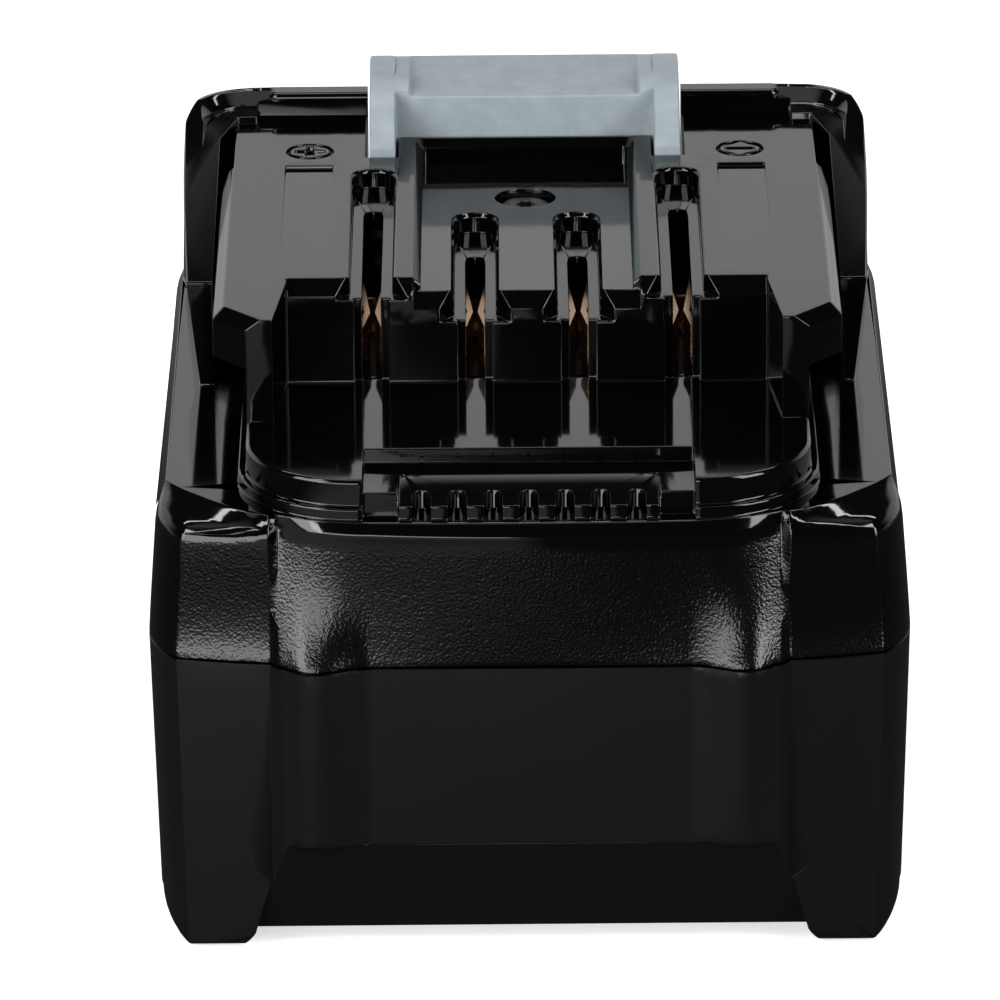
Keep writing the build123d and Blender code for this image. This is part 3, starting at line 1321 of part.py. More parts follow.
def fuse():
    """Surface fuse with end caps."""
    body = block(FUSE_X - FUSE_WIDTH / 2, FUSE_X + FUSE_WIDTH / 2, CHIP_Y - FUSE_LENGTH / 2,
                 CHIP_Y + FUSE_LENGTH / 2, BOARD_TOP, BOARD_TOP + FUSE_HEIGHT)
    return chamfer(body.edges().filter_by(Axis.Z), FUSE_HEIGHT / 4)


def terminal_block():
    """Insulating carrier with walls between the contacts and a boss for the cover screw."""
    body = block(-BLOCK_HALF, BLOCK_HALF, BLOCK_FRONT, BLOCK_REAR, BOARD_TOP, BOARD_TOP + BLOCK_BASE)
    for left, right in zip(SLOT_XS[:-1], SLOT_XS[1:]):
        x = (left + right) / 2
        body = body + block(x - PART_WALL / 2, x + PART_WALL / 2, BLOCK_FRONT, CONTACT_REAR,
                            BOARD_TOP, BOARD_TOP + BLOCK_BASE + PART_WALL_HEIGHT)
    boss = SCREW_HOLE_DIAMETER / 2 + PART_WALL
    body = body + rod(0, COVER_SCREW_Y, boss, BOARD_TOP, BLOCK_BOSS_TOP)
    low = RECESS_FLOOR - COVER_SEAT_DEPTH - COVER_SCREW_LENGTH - SCREW_FIT
    body = body - rod(0, COVER_SCREW_Y, COVER_SCREW_SHANK + SCREW_FIT, low, BLOCK_BOSS_TOP + OVERRUN)
    return body


def contact(x):
    """Fork contact: two sprung leaves that pinch the tool blade."""
    base = BOARD_TOP + BLOCK_BASE
    leaf = [(CONTACT_ROOT_OUT, CONTACT_REAR), (CONTACT_PINCH_OUT, CONTACT_PINCH),
            (CONTACT_MOUTH_OUT, CONTACT_FRONT)]
    back = [(out + CONTACT_LEAF, y) for out, y in reversed(leaf)]
    face = outline(leaf + back)
    right = prism(face, base, base + CONTACT_HEIGHT)
    foot = block(0, CONTACT_ROOT_OUT + CONTACT_LEAF, CONTACT_REAR - WALL, CONTACT_REAR + WALL,
                 base, base + CONTACT_FOOT)
    bridge = block(0, CONTACT_ROOT_OUT + CONTACT_LEAF, CONTACT_REAR - CONTACT_LEAF, CONTACT_REAR,
                   base, base + CONTACT_HEIGHT / 2)
    return Pos(x, 0, 0) * both_sides(right + foot + bridge)


def temperature_sensor():
    """Bead in the valley between two upper cells with two leads up to the board."""
    y = row_y(1) + CELL_PITCH / 2
    z = UPPER_AXIS + math.sqrt((CELL_RADIUS + SENSOR_RADIUS) ** 2 - CELL_PITCH ** 2 / 4)
    bead = rod(0, y, SENSOR_RADIUS, z - SENSOR_RADIUS, z + SENSOR_RADIUS)
    bead = fillet(bead.edges().filter_by(GeomType.CIRCLE), SENSOR_RADIUS * SENSOR_ROUND_SHARE)
    lead = rod(SENSOR_LEAD_PITCH / 2, y, SENSOR_LEAD_RADIUS, z, BOARD_BOTTOM)
    return bead + both_sides(lead)


def build():
    """Write every sub-part."""
    os.makedirs("parts", exist_ok=True)
    save("lower_case", lower_case())
    save("upper_case", upper_case())
    save("latch", latch())
    save("latch_springs", group(latch_springs()))
    save("case_screws", group(case_screws()))
    save("cover_screw", cover_screw())
    save("board_screws", group(board_screws()))
    save("cell_holder_left", cell_holder(-1))
    save("cell_holder_right", cell_holder(1))
    for row in range(CELL_ROWS):
        save("cell_lower_" + str(row + 1), cell(row, LOWER_AXIS, nub_direction(row)))
        save("cell_upper_" + str(row + 1), cell(row, UPPER_AXIS, nub_direction(row)))
    save("strip_negative", strip([0], 1, True))
    save("strip_series_front", strip([0, 1], -1, False))
    save("strip_series_middle", strip([1, 2], 1, False))
    save("strip_series_rear", strip([2, 3], -1, False))
    save("strip_positive", strip([3], 1, True))
    save("circuit_board", circuit_board())
    save("microcontroller", microcontroller())
    save("power_transistors", group(power_transistors()))
    save("capacitors", group(capacitors()))
    save("fuse", fuse())
    save("terminal_block", terminal_block())
    names = ("terminal_positive", "terminal_signal_left", "terminal_signal_right",
             "terminal_negative")
    for name, x in zip(names, SLOT_XS):
        save(name, contact(x))
    save("temperature_sensor", temperature_sensor())


build()
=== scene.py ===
# %% [markdown]
# # A slide-on battery pack for cordless tools
#
# The pack is a black two-part case with a blue-grey release latch. Its solids come from the
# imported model, and they hold the real sizes. This script gives them the finish of the real
# thing: moulded edges that catch the light, polished and grained plastic, copper contacts
# down in the slots, and the studio that the glossy faces mirror.

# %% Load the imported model
import json
import math

import bmesh
import bpy
from mathutils import Matrix, Vector


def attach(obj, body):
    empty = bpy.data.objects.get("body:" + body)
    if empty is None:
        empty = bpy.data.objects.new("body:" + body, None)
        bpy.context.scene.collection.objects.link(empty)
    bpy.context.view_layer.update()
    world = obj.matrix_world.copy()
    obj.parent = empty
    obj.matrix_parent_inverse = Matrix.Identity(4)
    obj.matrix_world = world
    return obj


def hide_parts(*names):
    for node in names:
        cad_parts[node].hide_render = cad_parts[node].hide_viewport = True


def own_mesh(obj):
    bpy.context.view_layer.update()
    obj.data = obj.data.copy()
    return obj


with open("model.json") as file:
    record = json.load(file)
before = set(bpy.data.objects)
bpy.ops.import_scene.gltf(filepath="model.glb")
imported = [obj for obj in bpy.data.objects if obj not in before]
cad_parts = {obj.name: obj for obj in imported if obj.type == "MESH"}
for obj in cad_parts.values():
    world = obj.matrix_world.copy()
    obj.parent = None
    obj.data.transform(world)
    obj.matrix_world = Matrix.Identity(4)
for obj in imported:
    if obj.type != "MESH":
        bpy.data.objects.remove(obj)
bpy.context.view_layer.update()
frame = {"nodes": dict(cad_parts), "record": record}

nodes = frame["nodes"]
MM = 0.001
print("nodes in the frame:", len(nodes))

# %% [markdown]
# The camera stands a metre away and 21 degrees up, straight in front of the terminal end.
# It could be turned by hand until it looks right. Here its axes are worked out from three
# angles instead, and the long lens from the pack's width in pixels, because then a wrong
# size in the model shows up as an edge that is off. The picture leans by less than half a
# degree, so the camera rolls by that much.

# %% Place the camera
CAMERA_TARGET = Vector((0.0, -1.35, 32.0)) * MM
CAMERA_DISTANCE = 1000 * MM
CAMERA_RISE = math.radians(21.0)
CAMERA_TURN = math.radians(0.137)
CAMERA_ROLL = math.radians(0.419)
SENSOR = 36.0
FOCAL_PIXELS = 9638
PICTURE_PIXELS = 1000
CENTRE_U = 528.2
CENTRE_V = 513.0
CLIP_START = 50 * MM


def place_camera():
    """Camera at the photograph's place, with its roll and its offset from the middle."""
    forward = Vector((math.sin(CAMERA_TURN) * math.cos(CAMERA_RISE),
                      math.cos(CAMERA_TURN) * math.cos(CAMERA_RISE), -math.sin(CAMERA_RISE)))
    level = Vector((math.cos(CAMERA_TURN), -math.sin(CAMERA_TURN), 0))
    upright = level.cross(forward)
    across = level * math.cos(CAMERA_ROLL) - upright * math.sin(CAMERA_ROLL)
    up = level * math.sin(CAMERA_ROLL) + upright * math.cos(CAMERA_ROLL)
    camera = bpy.data.objects.new("camera", bpy.data.cameras.new("camera"))
    turn = Matrix((across, up, -forward)).transposed().to_4x4()
    camera.matrix_world = Matrix.Translation(CAMERA_TARGET - forward * CAMERA_DISTANCE) @ turn
    camera.data.sensor_width = SENSOR
    camera.data.lens = FOCAL_PIXELS / PICTURE_PIXELS * SENSOR
    camera.data.shift_x = 0.5 - CENTRE_U / PICTURE_PIXELS
    camera.data.shift_y = CENTRE_V / PICTURE_PIXELS - 0.5
    camera.data.clip_start = CLIP_START
    bpy.context.scene.collection.objects.link(camera)
    bpy.context.scene.camera = camera
    return camera


camera = place_camera()
print("lens", round(camera.data.lens, 1), "mm")

# %% [markdown]
# Shader nodes could be added and linked one by one, but they are easier to read as sums. A
# small class wraps a socket, so that an expression such as `1 - mask * 0.5` adds its Math
# nodes by itself. Every other node comes from one method, which sets the node's own
# settings first and its sockets next.


# %% Shader maths
class Socket:
    """An output socket in a node tree, with Python's arithmetic."""

    def __init__(self, tree, socket=None):
        self.tree = tree
        self.socket = socket

    def node(self, kind, settings=None, inputs=None):
        """Adds a node, makes its settings, and fills or links its input sockets."""
        made = self.tree.nodes.new(kind)
        for name, value in (settings or {}).items():
            setattr(made, name, value)
        for name, value in (inputs or {}).items():
            if isinstance(value, Socket):
                self.tree.links.new(value.socket, made.inputs[name])
            else:
                made.inputs[name].default_value = value
        return Socket(self.tree, made.outputs[0] if made.outputs else None)

    def output(self, name):
        """Another output of the same node."""
        return Socket(self.tree, self.socket.node.outputs[name])

    def part(self, name):
        """One coordinate of a vector: X, Y or Z."""
        return self.node("ShaderNodeSeparateXYZ", inputs={0: self}).output(name)

    def math(self, operation, first, second=0.0):
        """Number from two values, any of which may be a socket."""
        return self.node("ShaderNodeMath", {"operation": operation}, {0: first, 1: second})

    def __add__(self, other):
        return self.math("ADD", self, other)

    def __sub__(self, other):
        return self.math("SUBTRACT", self, other)

    def __rsub__(self, other):
        return self.math("SUBTRACT", other, self)

    def __mul__(self, other):
        return self.math("MULTIPLY", self, other)

    def __abs__(self):
        return self.math("ABSOLUTE", self)

    def step(self, start, end):
        """0 before start and 1 after end, with a smooth rise between; start may be above end."""
        return self.node("ShaderNodeMapRange", {"interpolation_type": "SMOOTHSTEP"},
                         {"Value": self, "From Min": start, "From Max": end})

    __radd__ = __add__
    __rmul__ = __mul__


def new_finish(name):
    """A material with an empty tree, and the tree wrapped for building."""
    material = bpy.data.materials.new(name)
    material.use_nodes = True
    material.node_tree.nodes.clear()
    return material, Socket(material.node_tree)


def surface_place(tree):
    """Where a point lies on the object, in metres."""
    return tree.node("ShaderNodeTexCoord").output("Object")


def noise(tree, place, scale, detail=2.0, roughness=0.5):
    """Even noise from 0 to 1, scale being lumps per metre."""
    return tree.node("ShaderNodeTexNoise", inputs={
        "Vector": place, "Scale": scale, "Detail": detail, "Roughness": roughness})


def bumps(tree, height, strength, distance):
    """Normal of a surface that rises and sinks with a height from 0 to 1."""
    return tree.node("ShaderNodeBump", inputs={
        "Height": height, "Strength": strength, "Distance": distance})


def blend_colours(tree, share, first, second):
    """Colour between two, share being how much there is of the second."""
    return tree.node("ShaderNodeMix", {"data_type": "RGBA"}, {
        0: share, 6: first + (1,), 7: second + (1,)}).output(2)


def close_finish(tree, inputs):
    """Ends a tree in a Principled shader."""
    shader = tree.node("ShaderNodeBsdfPrincipled", inputs=inputs)
    tree.node("ShaderNodeOutputMaterial", inputs={"Surface": shader})


print("shader helpers ready")

# %% [markdown]
# The upper case comes out of a polished mould, but the skirt under its ledge is spark
# eroded, which leaves a fine grain of shallow pits. The two could be two materials with a
# cut between them. Both are the same black plastic, so one finish holds both here, and the
# height of a point decides between them. Where the two shells meet, a thin line of painted
# shade stands for the shadow in the gap, as plastic that mirrors nothing.


# %% Black plastic, polished above and grained below
GRAIN_TOP = 44.6 * MM
GRAIN_FADE = 1.6 * MM
GRAIN_SCALE = 3600
GRAIN_DEPTH = 0.06 * MM
GRAIN_STRENGTH = 0.8
GLOSS_COLOUR = (0.0009, 0.0009, 0.001)
GLOSS_ROUGHNESS = 0.055
GRAIN_ROUGHNESS = 0.13
SATIN_COLOUR = (0.0042, 0.0042, 0.0045)
SATIN_ROUGHNESS = 0.27
SATIN_SCALE = 2600
SATIN_DEPTH = 0.04 * MM
SATIN_STRENGTH = 0.22
PLASTIC_IOR = 1.5
GLOSS_DRIFT_SCALE, GLOSS_DRIFT = 60, 0.02
SATIN_DRIFT_SCALE, SATIN_DRIFT = 45, 0.06
PARTING = 31.4 * MM
SEAM_SHADE_HALF = 0.26 * MM
SEAM_SHADE_CORE = 0.4


def painted_seam_shade(z):
    """1 inside the thin gap between the two shells: painted shade where hardly any light gets
    in.
    """
    return abs(z - PARTING).step(SEAM_SHADE_HALF, SEAM_SHADE_HALF * SEAM_SHADE_CORE)


def polished_black():
    """Gloss plastic that turns grained below the ledge."""
    material, tree = new_finish("case_gloss")
    place = surface_place(tree)
    z = place.part("Z")
    grained = z.step(GRAIN_TOP, GRAIN_TOP - GRAIN_FADE)
    pits = noise(tree, place, GRAIN_SCALE, detail=1.0)
    drift = noise(tree, place, GLOSS_DRIFT_SCALE)
    rough = GLOSS_ROUGHNESS + drift * GLOSS_DRIFT + grained * GRAIN_ROUGHNESS
    # Metallic on the near-black colour paints a line of shade where the shells meet.
    close_finish(tree, {"Base Color": GLOSS_COLOUR + (1,), "Roughness": rough,
                        "Metallic": painted_seam_shade(z), "IOR": PLASTIC_IOR,
                        "Normal": bumps(tree, pits * grained, GRAIN_STRENGTH, GRAIN_DEPTH)})
    return material


def satin_black():
    """Lower shell: an even satin with hardly any grain."""
    material, tree = new_finish("case_satin")
    place = surface_place(tree)
    fine = noise(tree, place, SATIN_SCALE)
    drift = noise(tree, place, SATIN_DRIFT_SCALE, detail=3.0)
    # Metallic on the near-black colour paints a line of shade where the shells meet.
    close_finish(tree, {"Base Color": SATIN_COLOUR + (1,),
                        "Metallic": painted_seam_shade(place.part("Z")),
                        "Roughness": SATIN_ROUGHNESS + drift * SATIN_DRIFT,
                        "IOR": PLASTIC_IOR,
                        "Normal": bumps(tree, fine, SATIN_STRENGTH, SATIN_DEPTH)})
    return material


gloss_black = polished_black()
shell_black = satin_black()
print("case finishes ready")

# %% [markdown]
# The latch is moulded in blue-grey acetal. Under a lens it shows faint paler clouds from
# the flow of the plastic, and a soft sheen. One flat colour would do from afar. Noise that
# blends two near colours costs little more, and it keeps the piece from looking painted.


# %% Grey latch plastic
LATCH_DARK = (0.25, 0.295, 0.32)
LATCH_PALE = (0.3, 0.345, 0.37)
LATCH_ROUGHNESS = 0.34
LATCH_IOR = 1.48
CLOUD_SCALE, CLOUD_START, CLOUD_END = 420, 0.3, 0.72
CLOUD_ROUGHNESS = 0.12
LATCH_GRAIN_SCALE, LATCH_GRAIN_STRENGTH = 2200, 0.2
LATCH_GRAIN_DEPTH = 0.03 * MM


def latch_plastic():
    """Blue-grey plastic with faint clouds."""
    material, tree = new_finish("latch_grey")
    place = surface_place(tree)
    clouds = noise(tree, place, CLOUD_SCALE, detail=5.0, roughness=0.65)
    grain = noise(tree, place, LATCH_GRAIN_SCALE)
    colour = blend_colours(tree, clouds.step(CLOUD_START, CLOUD_END), LATCH_DARK, LATCH_PALE)
    bump = bumps(tree, grain, LATCH_GRAIN_STRENGTH, LATCH_GRAIN_DEPTH)
    close_finish(tree, {"Base Color": colour, "IOR": LATCH_IOR, "Normal": bump,
                        "Roughness": LATCH_ROUGHNESS + clouds * CLOUD_ROUGHNESS})
    return material


latch_grey = latch_plastic()
print("latch finish ready")

# %% [markdown]
# The metal and plastic inside hardly show, apart from the copper contacts deep in the
# slots. Each could have its own tree, but they only differ in a few numbers, so two
# functions make them all: metal with drawn streaks, and plastic with a fine grain.


# %% Finishes inside the pack
METAL_SHADE = 0.72
PALE_GAIN = 1.25
PALE_LIFT = 0.004
TINT_START, TINT_END = 0.35, 0.7
STREAK_ROUGHNESS = 0.15
MOULD_ROUGHNESS = 0.1
MOULD_STRENGTH = 0.15
MOULD_DEPTH = 0.05 * MM


def metal(name, colour, dull, scale, streak):
    """Metal whose roughness and tint vary in streaks along one axis."""
    material, tree = new_finish(name)
    stretched = tree.node("ShaderNodeMapping", inputs={
        "Vector": surface_place(tree), "Scale": streak})
    lines = noise(tree, stretched, scale, detail=3.0, roughness=0.6)
    dark = tuple(part * METAL_SHADE for part in colour)
    tint = blend_colours(tree, lines.step(TINT_START, TINT_END), dark, colour)
    close_finish(tree, {"Base Color": tint, "Metallic": 1.0,
                        "Roughness": dull + lines * STREAK_ROUGHNESS})
    return material


def plain_plastic(name, colour, dull, scale):
    """Moulded or printed plastic with a fine uneven surface."""
    material, tree = new_finish(name)
    grain = noise(tree, surface_place(tree), scale, detail=3.0, roughness=0.6)
    pale = tuple(min(1.0, part * PALE_GAIN + PALE_LIFT) for part in colour)
    tint = blend_colours(tree, grain.step(TINT_START, TINT_END), colour, pale)
    close_finish(tree, {"Base Color": tint, "Roughness": dull + grain * MOULD_ROUGHNESS,
                        "Normal": bumps(tree, grain, MOULD_STRENGTH, MOULD_DEPTH)})
    return material


finishes = {
    "case_gloss": gloss_black,
    "case_satin": shell_black,
    "latch_grey": latch_grey,
    "spring_steel": metal("spring_steel", (0.56, 0.57, 0.58), 0.22, 900, (1, 1, 1)),
    "screw_steel": metal("screw_steel", (0.16, 0.16, 0.17), 0.28, 1400, (1, 1, 1)),
    "nickel": metal("nickel", (0.66, 0.64, 0.58), 0.24, 700, (1, 0.1, 1)),
    "can_metal": metal("can_metal", (0.74, 0.74, 0.75), 0.2, 1500, (1, 1, 1)),
    "contact_copper": metal("contact_copper", (0.72, 0.46, 0.27), 0.2, 1100, (1, 0.2, 1)),
    "cell_wrap": plain_plastic("cell_wrap", (0.03, 0.16, 0.33), 0.3, 500),
    "holder_plastic": plain_plastic("holder_plastic", (0.012, 0.012, 0.013), 0.42, 900),
    "board_green": plain_plastic("board_green", (0.015, 0.1, 0.04), 0.35, 1200),
    "chip_black": plain_plastic("chip_black", (0.014, 0.014, 0.015), 0.4, 2000),
}
print("finishes:", ", ".join(finishes))

# %% [markdown]
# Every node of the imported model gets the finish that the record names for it. The nodes
# themselves stay as they are, because the motion and the checks rest on them.

# %% Dress the nodes
slot_of = {part["node"]: part["material_slot"] for part in frame["record"]["subparts"]}
for name, node in nodes.items():
    node.data.materials.clear()
    node.data.materials.append(finishes[slot_of[name]])
print("dressed", len(slot_of), "nodes")

# %% [markdown]
# Moulded edges are never sharp. A round of a quarter of a millimetre turns each edge of the
# case into a thin bright line, and in black plastic those lines are most of what the eye
# sees. The rounds could be in the solids, but hundreds of tiny fillets make a heavy model.
# So a copy of each outer node is merged, and a Bevel modifier rounds the edges that turn by
# more than the smooth parts do. Each edge has its own weight, so that the round stays small
# where there is little room for it. Weighted Normal then keeps the flat faces flat.


# %% Rounded copies of the outer parts
ROOM_SHARE = 0.3
MERGE_GAP = 1e-6
ROUND_SEGMENTS = 2
FLAT_WEIGHT = 90
BODY_OF = {"upper_case": "pack", "lower_case": "pack", "latch": "latch"}
EDGE_ROUNDS = {"upper_case": (0.22 * MM, 16), "lower_case": (0.2 * MM, 28),
               "latch": (0.3 * MM, 28)}


def merged_copy(name, ending="_moulded"):
    """Copy of a node's mesh with its loose triangles joined."""
    source = nodes[name].data
    sheet = bmesh.new()
    sheet.from_mesh(source)
    bmesh.ops.remove_doubles(sheet, verts=sheet.verts, dist=MERGE_GAP)
    mesh = bpy.data.meshes.new(name + ending)
    sheet.to_mesh(mesh)
    sheet.free()
    mesh.materials.append(source.materials[0])
    made = bpy.data.objects.new(name + ending, mesh)
    bpy.context.scene.collection.objects.link(made)
    return made


def apply_modifiers(made):
    """Turns an object's modifiers into plain mesh."""
    bpy.context.view_layer.update()
    graph = bpy.context.evaluated_depsgraph_get()
    solid = bpy.data.meshes.new_from_object(made.evaluated_get(graph))
    made.modifiers.clear()
    made.data = solid


def weigh_edges(mesh, width, turn):
    """Gives each turning edge a bevel weight, less where its neighbours are short."""
    sheet = bmesh.new()
    sheet.from_mesh(mesh)
    weight = sheet.edges.layers.float.new("bevel_weight_edge")
    for edge in sheet.edges:
        if len(edge.link_faces) != 2 or edge.calc_face_angle(0) < math.radians(turn):
            continue
        near = [other for vertex in edge.verts for other in vertex.link_edges]
        room = min(other.calc_length() for other in near) * ROOM_SHARE
        edge[weight] = min(1.0, room / width)
    sheet.to_mesh(mesh)
    sheet.free()


def rounded_copy(name, width, turn):
    """A node's copy with smooth shading and its edges that turn by so many degrees rounded."""
    made = merged_copy(name)
    weigh_edges(made.data, width, turn)
    bevel = made.modifiers.new("edges", "BEVEL")
    bevel.width = width
    bevel.segments = ROUND_SEGMENTS
    bevel.limit_method = "WEIGHT"
    bevel.use_clamp_overlap = False
    bevel.miter_outer = "MITER_ARC"
    made.data.shade_smooth()
    weighted = made.modifiers.new("flat_faces", "WEIGHTED_NORMAL")
    weighted.mode = "FACE_AREA_WITH_ANGLE"
    weighted.weight = FLAT_WEIGHT
    weighted.keep_sharp = True
    apply_modifiers(made)
    return made


for name, (width, turn) in EDGE_ROUNDS.items():
    piece = rounded_copy(name, width, turn)
    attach(piece, BODY_OF[name])
    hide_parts(name)
    print(name, "faces", len(piece.data.polygons))

# %% [markdown]
# Two coil springs stand under the latch. When the latch goes down they get shorter by its
# whole travel, while their lower ends stay on the pack. Left as they are, they would poke
# into the pressed latch. Here a merged copy of them, smoothly shaded, takes their place on
# the pack.

# %% Springs under the latch
springs = merged_copy("latch_springs", "_coils")
springs.data.shade_smooth()
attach(springs, "pack")
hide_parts("latch_springs")
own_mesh(springs)

# %% [markdown]
# Seven small ribs stand on the rear wall of the niche, one in line with each flute. They
# could be copied by hand, but they are one bar that repeats, so Geometry Nodes put it on
# the points of a line. Count and pitch are then two numbers that are easy to change. The
# tree ends in Realize Instances, so that the row becomes plain mesh.

# %% Ribs in the niche
RIB_VALUES = {"Count": 7, "Pitch": 3.57 * MM, "Width": 0.28 * MM, "Depth": 0.5 * MM,
              "Height": 0.8 * MM}
RIB_SOCKETS = {"Count": "NodeSocketInt", "Pitch": "NodeSocketFloat", "Width": "NodeSocketFloat",
               "Depth": "NodeSocketFloat", "Height": "NodeSocketFloat"}
RIB_PLACE = Vector((0.0, -31.15, 49.55)) * MM


def bar_row_group(material):
    """Node group that repeats a bar along X, centred on the object's origin."""
    group = bpy.data.node_groups.new("bar_row", "GeometryNodeTree")
    for title, kind in RIB_SOCKETS.items():
        group.interface.new_socket(title, in_out="INPUT", socket_type=kind)
    group.interface.new_socket("Geometry", in_out="OUTPUT", socket_type="NodeSocketGeometry")
    tree = Socket(group)
    given = tree.node("NodeGroupInput")
    count, pitch = given.output("Count"), given.output("Pitch")
    size = tree.node("ShaderNodeCombineXYZ", inputs={
        0: given.output("Width"), 1: given.output("Depth"), 2: given.output("Height")})
    start = tree.node("ShaderNodeCombineXYZ", inputs={0: (count - 1) * pitch * -0.5})
    offset = tree.node("ShaderNodeCombineXYZ", inputs={0: pitch})
    line = tree.node("GeometryNodeMeshLine", inputs={
        "Count": count, "Start Location": start, "Offset": offset})
    bar = tree.node("GeometryNodeMeshCube", inputs={"Size": size})
    row = tree.node("GeometryNodeInstanceOnPoints", inputs={
        "Points": line, "Instance": bar})
    solid = tree.node("GeometryNodeRealizeInstances", inputs={"Geometry": row})
    dressed = tree.node("GeometryNodeSetMaterial", inputs={
        "Geometry": solid, "Material": material})
    tree.node("NodeGroupOutput", inputs={"Geometry": dressed})
    return group


def bar_row(name, values, place, material):
    """Mesh of a row of bars, moved to its place."""
    made = bpy.data.objects.new(name, bpy.data.meshes.new(name))
    bpy.context.scene.collection.objects.link(made)
    row = made.modifiers.new("row", "NODES")
    row.node_group = bar_row_group(material)
    for item in row.node_group.interface.items_tree:
        if item.in_out == "INPUT":
            row[item.identifier] = values[item.name]
    apply_modifiers(made)
    made.data.transform(Matrix.Translation(place))
    return made


ribs = bar_row("niche_ribs", RIB_VALUES, RIB_PLACE, gloss_black)
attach(ribs, "pack")
print("niche ribs", len(ribs.data.polygons), "faces")

# %% [markdown]
# A pale floor carries the pack and keeps its soft shadow. To the camera it glows up to
# white, as a lit paper sweep does. To the gloss it glows with painted light: dark near the
# pack, bright far behind it, and a painted patch of light in front on the left, because the
# case mirrors just that. Light Path tells the two apart. A real set of paper and flags would
# do the same with far more lamps.

# %% Floor
FLOOR_HALF = 3.0
FLOOR_COLOUR = 0.9
FLOOR_GLOW = 0.62
NEAR_LEVEL = 0.035
FAR_LEVEL = 0.7
FAR_START, FAR_END = 0.1, 0.5
PAINTED_LIGHT_LEVEL = 0.42
PAINTED_LIGHT_START, PAINTED_LIGHT_END = -0.11, -0.2
PAINTED_LIGHT_SIDE = 0.006
WHITE = (1, 1, 1, 1)


def plain_floor():
    """Pale floor that keeps the soft shadow of the pack."""
    mesh = bpy.data.meshes.new("floor")
    corners = [(-FLOOR_HALF, -FLOOR_HALF, 0), (FLOOR_HALF, -FLOOR_HALF, 0),
               (FLOOR_HALF, FLOOR_HALF, 0), (-FLOOR_HALF, FLOOR_HALF, 0)]
    mesh.from_pydata(corners, [], [(0, 1, 2, 3)])
    floor = bpy.data.objects.new("floor", mesh)
    bpy.context.scene.collection.objects.link(floor)
    material, tree = new_finish("floor")
    place = surface_place(tree)
    x, y = place.part("X"), place.part("Y")
    paper = tree.node("ShaderNodeBsdfDiffuse", inputs={"Color": (FLOOR_COLOUR,) * 3 + (1,)})
    glow = tree.node("ShaderNodeEmission", inputs={"Color": WHITE, "Strength": FLOOR_GLOW})
    both = tree.node("ShaderNodeAddShader", inputs={0: paper, 1: glow})
    far = y.step(FAR_START, FAR_END)
    # A painted patch of light glowing on the floor in front on the left, seen only by the gloss.
    painted_light = y.step(PAINTED_LIGHT_START, PAINTED_LIGHT_END) * x.step(PAINTED_LIGHT_SIDE, -PAINTED_LIGHT_SIDE)
    dim = tree.node("ShaderNodeEmission", inputs={
        "Color": WHITE, "Strength": NEAR_LEVEL + far * FAR_LEVEL + painted_light * PAINTED_LIGHT_LEVEL})
    seen = tree.node("ShaderNodeLightPath").output("Is Camera Ray")
    surface = tree.node("ShaderNodeMixShader", inputs={0: seen, 1: dim, 2: both})
    tree.node("ShaderNodeOutputMaterial", inputs={"Surface": surface})
    mesh.materials.append(material)


plain_floor()
print("floor", 2 * FLOOR_HALF, "m wide")

# %% [markdown]
# The sky is plain white to the camera. To the pack it is a white sweep low behind, a pale
# ceiling straight above, and dusk elsewhere. Level glossy faces mirror the sweep, which is
# why the platform looks grey and everything that leans looks black. A picture of a studio
# could be wrapped round the scene, but two smooth steps in each direction are enough.

# %% Sky that the gloss mirrors
SWEEP_LEVEL = 0.82
SWEEP_LOW = math.sin(math.radians(25))
SWEEP_HIGH = math.sin(math.radians(33))
SWEEP_START, SWEEP_END = 0.25, 0.6
CEILING_LEVEL = 0.8
CEILING_LOW = math.sin(math.radians(64))
CEILING_HIGH = math.sin(math.radians(78))
CEILING_START, CEILING_END = -0.2, -0.02
DUSK = 0.02


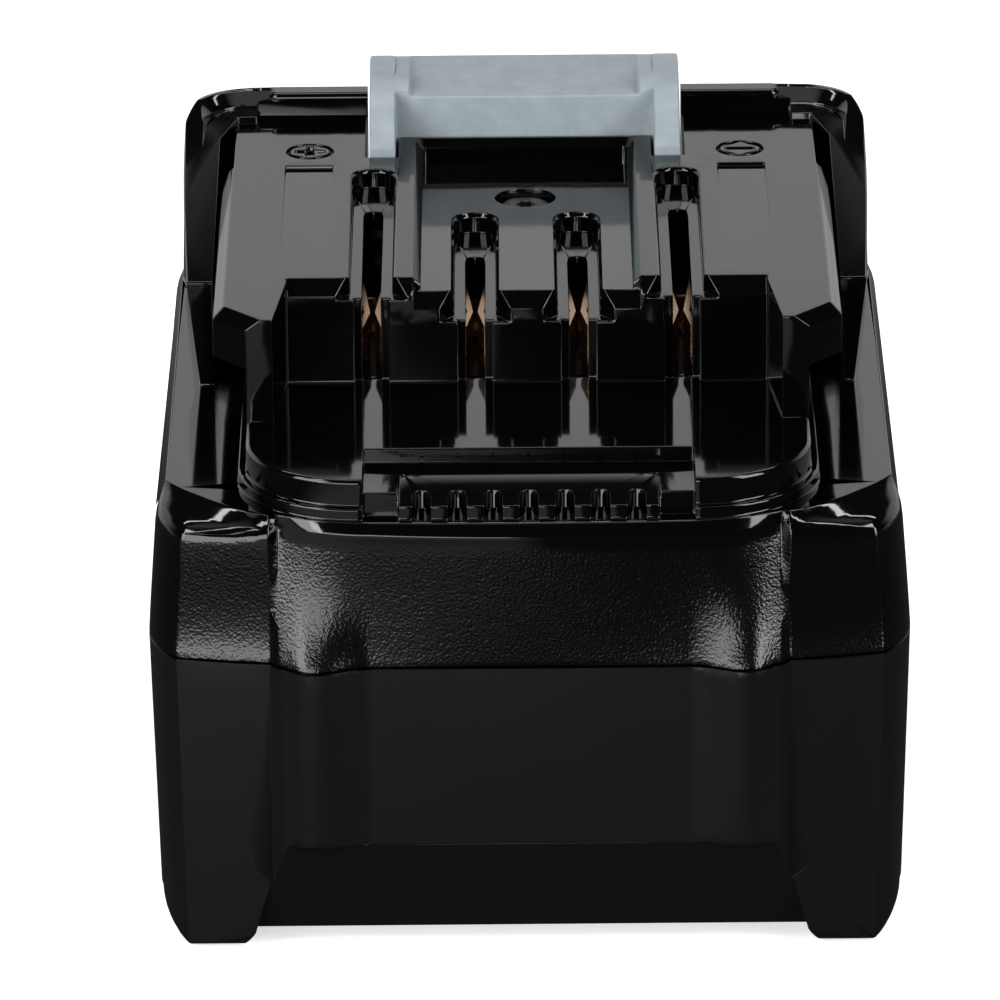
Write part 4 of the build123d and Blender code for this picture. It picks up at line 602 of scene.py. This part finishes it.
def studio_world():
    """White to the camera; to the pack, sweep, ceiling and dusk."""
    world = bpy.data.worlds.new("studio")
    bpy.context.scene.world = world
    world.use_nodes = True
    world.node_tree.nodes.clear()
    tree = Socket(world.node_tree)
    direction = tree.node("ShaderNodeTexCoord").output("Generated")
    y, z = direction.part("Y"), direction.part("Z")
    sweep = y.step(SWEEP_START, SWEEP_END) * z.step(SWEEP_HIGH, SWEEP_LOW) * SWEEP_LEVEL
    ceiling = y.step(CEILING_START, CEILING_END) * z.step(CEILING_LOW, CEILING_HIGH)
    shown = tree.node("ShaderNodeLightPath").output("Is Camera Ray")
    level = shown + (1 - shown) * (DUSK + sweep + ceiling * CEILING_LEVEL)
    background = tree.node("ShaderNodeBackground", inputs={"Color": WHITE, "Strength": level})
    tree.node("ShaderNodeOutputWorld", inputs={"Surface": background})


studio_world()
print("sky ready")

# %% [markdown]
# Three soft boxes stand in front, low and upright, and draw the bright patches on the bulged
# corners of the case. Three narrow strips hang higher and draw the thin lines on its edges.
# Sun or point lamps would light the pack as well, but gloss shows the shape of its lamps,
# and only an area lamp has a shape.

# %% Lamps
LAMP_AIM = Vector((0, 0, 40 * MM))
SOFT_BOXES = [
    ("left_box", (-0.66, -0.53, 0.4), (0.48, 0.7), 6.8),
    ("right_box", (0.68, -0.5, 0.4), (0.4, 0.7), 6.5),
    ("front_left_box", (-0.3, -0.82, 0.16), (0.6, 0.3), 2.9),
    ("overhead_strip", (0, 0.45, 0.95), (1.2, 0.08), 3.0),
    ("left_strip", (-0.55, -0.35, 1.0), (0.12, 0.3), 1.2),
    ("right_strip", (0.55, -0.35, 1.0), (0.12, 0.3), 1.2),
]


def soft_box(name, place, size, power):
    """Area lamp that looks at the pack."""
    lamp = bpy.data.lights.new(name, "AREA")
    lamp.shape = "RECTANGLE"
    lamp.size, lamp.size_y = size
    lamp.energy = power
    made = bpy.data.objects.new(name, lamp)
    made.location = place
    made.rotation_euler = (LAMP_AIM - Vector(place)).to_track_quat("-Z", "Y").to_euler()
    bpy.context.scene.collection.objects.link(made)


for lamp_values in SOFT_BOXES:
    soft_box(*lamp_values)
bpy.context.scene.view_settings.view_transform = "Standard"
print("lamps:", len(SOFT_BOXES))
